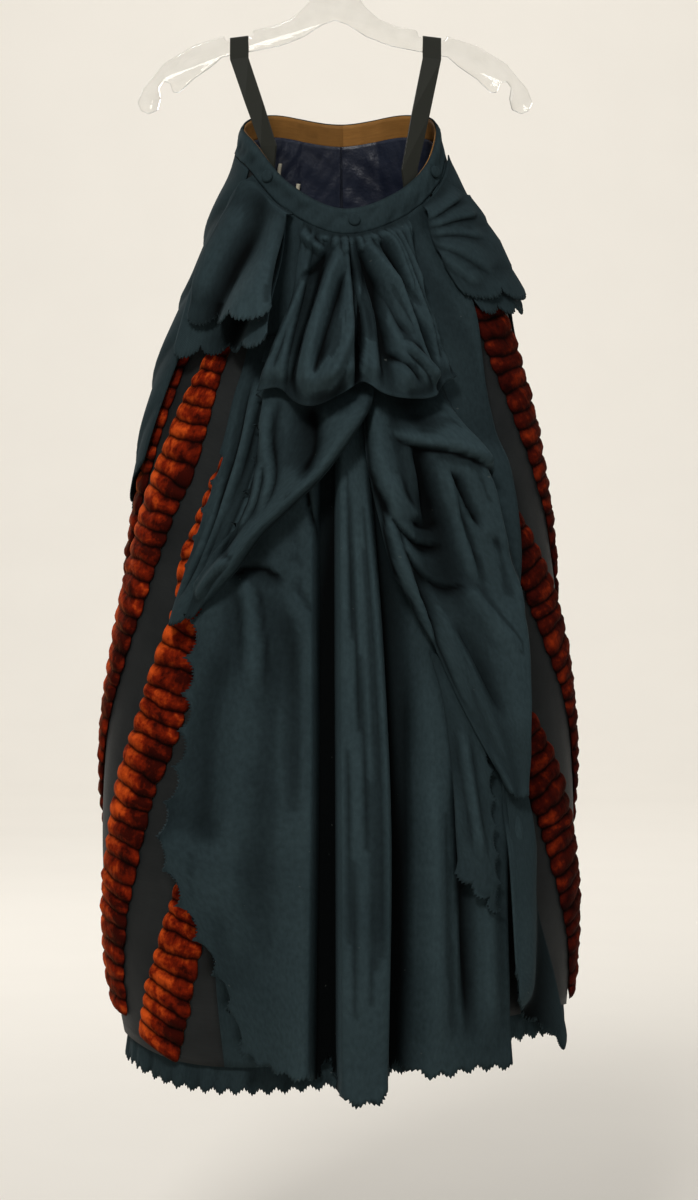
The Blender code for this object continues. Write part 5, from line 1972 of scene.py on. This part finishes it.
@dataclass
class Waist:
    """Waistband, its facing, the lining with its bones, and the covered buttons."""

    wool: WoolFinish = WoolFinish()
    bones: tuple = ((-142, 52, 24), (-156, 70, 18))

    def build(self, layers: LayerMap) -> None:
        """Makes the pieces of the waist."""
        band = Round(-180, 180, FORM.waist_edge, below_waist(BAND_HEIGHT), 72)
        ClothPiece("waistband_cloth", band, 10, self.rolled, self.wool, flat=(0.62, 0.060), held="folded",
                   rests_on=("tape_left", "tape_right"), fineness=3, wall=SHOWN_WOOL, closed=True,
                   layered=False, area=0.022).build(layers)
        facing = Round(-180, 180, below_waist(0.6), below_waist(BAND_HEIGHT - 0.5), 60)
        ClothPiece("waistband_facing_cloth", facing, 6, self.faced, BROWN_FACING, flat=(0.60, 0.028),
                   rests_on=("waistband_cloth",), fineness=3, wall=SHOWN_LINING, closed=True,
                   layered=False).build(layers)
        inside = Round(-180, 180, below_waist(BAND_HEIGHT - 3), below_waist(BAND_HEIGHT + LINING_LENGTH), 60)
        ClothPiece("lining_cloth", inside, 36, self.crinkled, NAVY_LINING, flat=(0.80, 0.13),
                   rests_on=("waistband_facing_cloth",), fineness=4, wall=SHOWN_LINING, closed=True,
                   layered=False).build(layers)
        for number, (angle, top, length) in enumerate(self.bones):
            self.bone(f"lining_bone_{number + 1}", angle, top, length)
        for name, angle, drop in BUTTONS:
            self.button(name, angle, drop)

    @staticmethod
    def rolled(angle: Array, z: Array, u: Array, v: Array) -> Array:
        """The band's rounded upper fold and its small wrinkles."""
        fold = BAND_WALL - SHOWN_WOOL - 1.6 * (1 - np.clip(v / 0.14, 0, 1)) ** 2
        drawn = 1.5 * wander(angle / 7.0, v * 3.5 + angle / 11.0, 3.0)
        return fold + (drawn + 0.35 * wander(angle / 2.4, v * 2, 1.0)) * ease(v / 0.25)

    @staticmethod
    def faced(angle: Array, z: Array, u: Array, v: Array) -> Array:
        """The facing lies just inside the band."""
        return -SEAM_GAP - LINING_WALL - 0.5 * wander(angle / 7, v, 1.0) ** 2

    @staticmethod
    def crinkled(angle: Array, z: Array, u: Array, v: Array) -> Array:
        """The lining's slack between its seams, and its small crinkles."""
        seams = np.abs(np.sin(angle * DEGREES * 8)) ** 0.4
        crinkles = 1.0 * wander(angle / 3.5, z / 9, 2.0)
        return -SILK_WALL - 3.0 - LINING_WALL - 3 * v - 1.6 * seams - crinkles * ease(v / 0.1)

    @staticmethod
    def bone(name: str, angle: float, top: float, length: float) -> None:
        """A cream tape that holds a bone, sewn down the lining on the far side.

        Args:
            name: Name of the piece.
            angle: Its place round the waist.
            top: Distance of its upper end below the waist's edge.
            length: Its length.
        """
        across, down = np.meshgrid(np.linspace(-1, 1, 5), np.linspace(0, 1, 25))
        edge = float(FORM.waist_edge(angle))
        z = edge - top - length * down
        turns = angle + 1.1 * across + 0.3 * np.sin(5 * down)
        lift = -SILK_WALL - 7.0 - LINING_WALL - 3 * down - 1.2 * (1 - across**2)
        points = FORM.point(turns, z, lift).reshape(-1, 3)
        uvs = np.stack([across * 0.003, down * length * MM], axis=-1).reshape(-1, 2)
        count = across.shape[1]
        faces = [(j * count + i, (j + 1) * count + i, (j + 1) * count + i + 1, j * count + i + 1)
                 for j in range(across.shape[0] - 1) for i in range(count - 1)]
        made = new_mesh(name, points, faces, uvs)
        thicken = made.modifiers.new("thickness", "SOLIDIFY")
        thicken.thickness = 0.6 * MM
        thicken.offset = -1.0
        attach(made, "root")
        WARDROBE.dress(made, BONE_TAPE)

    def button(self, name: str, angle: float, drop: float) -> None:
        """A wool-covered button, modelled as a domed disc with a rolled edge.

        Args:
            name: Name of the button's solid.
            angle: Its place round the waist.
            drop: Distance of its middle below the waist's edge.
        """
        z = float(FORM.waist_edge(angle)) - drop
        here = Vector(FORM.point(angle, z, BAND_WALL))
        turn_way = Vector(FORM.point(angle + 1, z, BAND_WALL)) - here
        down_way = Vector(FORM.point(angle, z - 4, BAND_WALL)) - here
        facing = turn_way.cross(-down_way).normalized()
        here += facing * 0.7
        bpy.ops.object.select_all(action="DESELECT")
        depth = BUTTON_HEIGHT * 0.7 * MM
        bpy.ops.mesh.primitive_cylinder_add(vertices=40, radius=BUTTON_RADIUS * MM, depth=depth)
        made = bpy.context.object
        made.name = name + "_cloth"
        made.data.name = made.name
        bpy.ops.object.mode_set(mode="EDIT")
        bpy.ops.mesh.select_all(action="DESELECT")
        bpy.ops.object.mode_set(mode="OBJECT")
        for face in made.data.polygons:
            face.select = face.normal.z > 0.9
        bpy.ops.object.mode_set(mode="EDIT")
        bpy.ops.mesh.select_mode(type="FACE")
        for inset, rise in ((1.2, 0.9), (1.4, 0.35), (1.6, 0.12)):
            bpy.ops.mesh.inset(thickness=inset * MM, depth=rise * MM)
        bpy.ops.object.mode_set(mode="OBJECT")
        soften = made.modifiers.new("soften", "BEVEL")
        soften.width = 0.8 * MM
        soften.segments = 3
        soften.limit_method = "ANGLE"
        bpy.ops.object.modifier_apply(modifier="soften")
        made.rotation_mode = "QUATERNION"
        made.rotation_quaternion = facing.to_track_quat("Z", "Y")
        made.location = (here + facing * BUTTON_HEIGHT * 0.35) * MM
        bpy.ops.object.transform_apply(location=True, rotation=True, scale=True)
        bpy.ops.object.shade_smooth_by_angle(angle=math.radians(40))
        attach(made, "root")
        WARDROBE.dress(made, self.wool)
        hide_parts(name)
        log.info("%s in place", name)


@dataclass
class HangerSet:
    """Clear hanger, its hook, and the two hanging tapes."""

    def build(self) -> None:
        """Dresses the hook and the tapes, and makes the moulded hanger."""
        WARDROBE.dress(frame["nodes"]["hook"], WireFinish())
        for name in ("tape_left", "tape_right"):
            WARDROBE.dress(frame["nodes"][name], BLACK_TAPE)
        self.moulded("hanger")

    @staticmethod
    def moulded(name: str) -> None:
        """The clear hanger with the rounded edges of a moulding, from its solid.

        Args:
            name: Name of the hanger's solid.
        """
        solid = frame["nodes"][name]
        made = solid.copy()
        made.data = solid.data.copy()
        made.name = made.data.name = name + "_moulded"
        bpy.context.scene.collection.objects.link(made)
        bpy.ops.object.select_all(action="DESELECT")
        made.select_set(True)
        bpy.context.view_layer.objects.active = made
        bpy.ops.object.mode_set(mode="EDIT")
        bpy.ops.mesh.select_all(action="SELECT")
        bpy.ops.mesh.remove_doubles(threshold=0.00002)
        bpy.ops.mesh.dissolve_limited(angle_limit=math.radians(3))
        bpy.ops.object.mode_set(mode="OBJECT")
        rounding = made.modifiers.new("rounded edges", "BEVEL")
        rounding.width = 1.5 * MM
        rounding.segments = 3
        rounding.limit_method = "ANGLE"
        rounding.angle_limit = math.radians(50)
        bpy.ops.object.modifier_apply(modifier="rounded edges")
        bpy.ops.object.shade_smooth_by_angle(angle=math.radians(40))
        if "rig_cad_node" in made:
            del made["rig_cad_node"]
        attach(made, "root")
        WARDROBE.dress(made, PlasticFinish())
        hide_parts(name)
        log.info("%s in place", made.name)


WARM_WHITE = (1.0, 0.99, 0.97)


@dataclass(frozen=True)
class Lamp:
    """A soft square light that stands at a place and is aimed at a point, with its power in watts."""

    name: str
    place: tuple[float, float, float]
    aim: tuple[float, float, float]
    size: float
    power: float
    colour: tuple[float, float, float]

    def build(self) -> None:
        """Makes the light."""
        data = bpy.data.lights.new(self.name, "AREA")
        data.size = self.size
        data.energy = self.power
        data.color = self.colour
        made = bpy.data.objects.new(self.name, data)
        bpy.context.scene.collection.objects.link(made)
        made.location = self.place
        made.rotation_euler = (Vector(self.aim) - Vector(self.place)).to_track_quat("-Z", "Y").to_euler()


@dataclass
class Studio:
    """Pale sweep, soft lights and a camera at the photograph's viewing angle, in metres.

    Attributes:
        eye: Where the camera stands.
        frame_height: Height of the view at the hanger.
        frame_pixels: Width and height of the photograph.
        eye_line: Row of pixels at the camera's own height.
        floor: Height of the floor.
        corner: Radius of the sweep's curve.
        back: Where the sweep stands upright.
        up: Height of its top.
        wide: Half of its width.
        near: Where it starts in front.
        paper: Its colour.
        ambient: Strength of the light from all round.
        lamps: The lights.
    """

    eye: tuple[float, float, float] = (0.015, -4.0, -0.621)
    frame_height: float = 1.296
    frame_pixels: tuple[int, int] = (698, 1200)
    eye_line: float = 500.0
    floor: float = -1.52
    corner: float = 4.0
    back: float = 11.0
    up: float = 9.0
    wide: float = 16.0
    near: float = -14.0
    paper: tuple = (0.84, 0.80, 0.735)
    ambient: float = 0.24
    lamps: tuple = (
        Lamp("key_light", (-0.7, -3.3, 1.8), (0.0, 0.0, -0.75), 0.8, 112.0, (1.0, 0.985, 0.96)),
        Lamp("fill_light", (2.4, -2.7, 0.5), (0.0, 0.0, -0.7), 1.2, 14.0, (0.96, 0.98, 1.0)),
        Lamp("top_light", (0.0, -0.4, 2.4), (0.0, 0.2, -0.6), 1.6, 16.0, (1.0, 1.0, 1.0)),
        Lamp("far_light", (-2.4, 3.4, 1.2), (0.0, 0.0, -0.7), 1.6, 45.0, WARM_WHITE),
        Lamp("paper_light", (0.0, 5.0, 5.5), (0.0, 10.5, 0.0), 6.0, 430.0, WARM_WHITE),
    )

    def build(self) -> None:
        """Makes the sweep, the lights and the camera."""
        self.sweep()
        for lamp in self.lamps:
            lamp.build()
        world = bpy.data.worlds.new("studio") if not bpy.data.worlds else bpy.data.worlds[0]
        bpy.context.scene.world = world
        world.use_nodes = True
        background = world.node_tree.nodes["Background"]
        background.inputs["Color"].default_value = (*WARM_WHITE, 1.0)
        background.inputs["Strength"].default_value = self.ambient
        bpy.context.scene.view_settings.view_transform = "Standard"
        self.camera()

    def sweep(self) -> None:
        """A pale paper that runs from the floor up the wall in one curve."""
        line = [(self.near, self.floor)]
        for turn in np.linspace(0, math.pi / 2, 17):
            line.append((self.back - self.corner * (1 - math.sin(turn)),
                         self.floor + self.corner * (1 - math.cos(turn))))
        line.append((self.back, self.up))
        data = bpy.data.meshes.new("sweep")
        verts = [(x, y, z) for y, z in line for x in (-self.wide, self.wide)]
        faces = [(2 * i, 2 * i + 1, 2 * i + 3, 2 * i + 2) for i in range(len(line) - 1)]
        data.from_pydata(verts, [], faces)
        data.shade_smooth()
        made = bpy.data.objects.new("sweep", data)
        bpy.context.scene.collection.objects.link(made)
        paper = Shading("paper", uv=False)
        grain = paper.noise(paper.coords, 3.0, 2.0)
        faded = tuple(0.985 * part for part in self.paper)
        paper.link(paper.ramp(grain, ((0.3, faded), (0.7, self.paper))), paper.shader.inputs["Base Color"])
        paper.constant("Roughness", 0.9)
        data.materials.append(paper.material)

    def camera(self) -> None:
        """The camera at the photograph's eye, with its eye line above the middle of the frame."""
        data = bpy.data.cameras.new("camera")
        data.sensor_width = 36.0
        data.lens = data.sensor_width * -self.eye[1] / self.frame_height
        data.shift_y = (self.eye_line - self.frame_pixels[1] / 2) / self.frame_pixels[1]
        made = bpy.data.objects.new("camera", data)
        bpy.context.scene.collection.objects.link(made)
        made.location = self.eye
        made.rotation_euler = (math.pi / 2, 0.0, 0.0)
        bpy.context.scene.camera = made


def main() -> None:
    """Builds the classes in order."""
    logging.basicConfig(level=logging.INFO, format="%(message)s")
    layers = LayerMap()
    Foundation().build(layers)
    VelvetBands().build(layers)
    FrontApron().build(layers)
    BackDrapery().build(layers)
    HipFlaps().build(layers)
    Waist().build(layers)
    HangerSet().build()
    Studio().build()


if __name__ == "__main__":
    main()
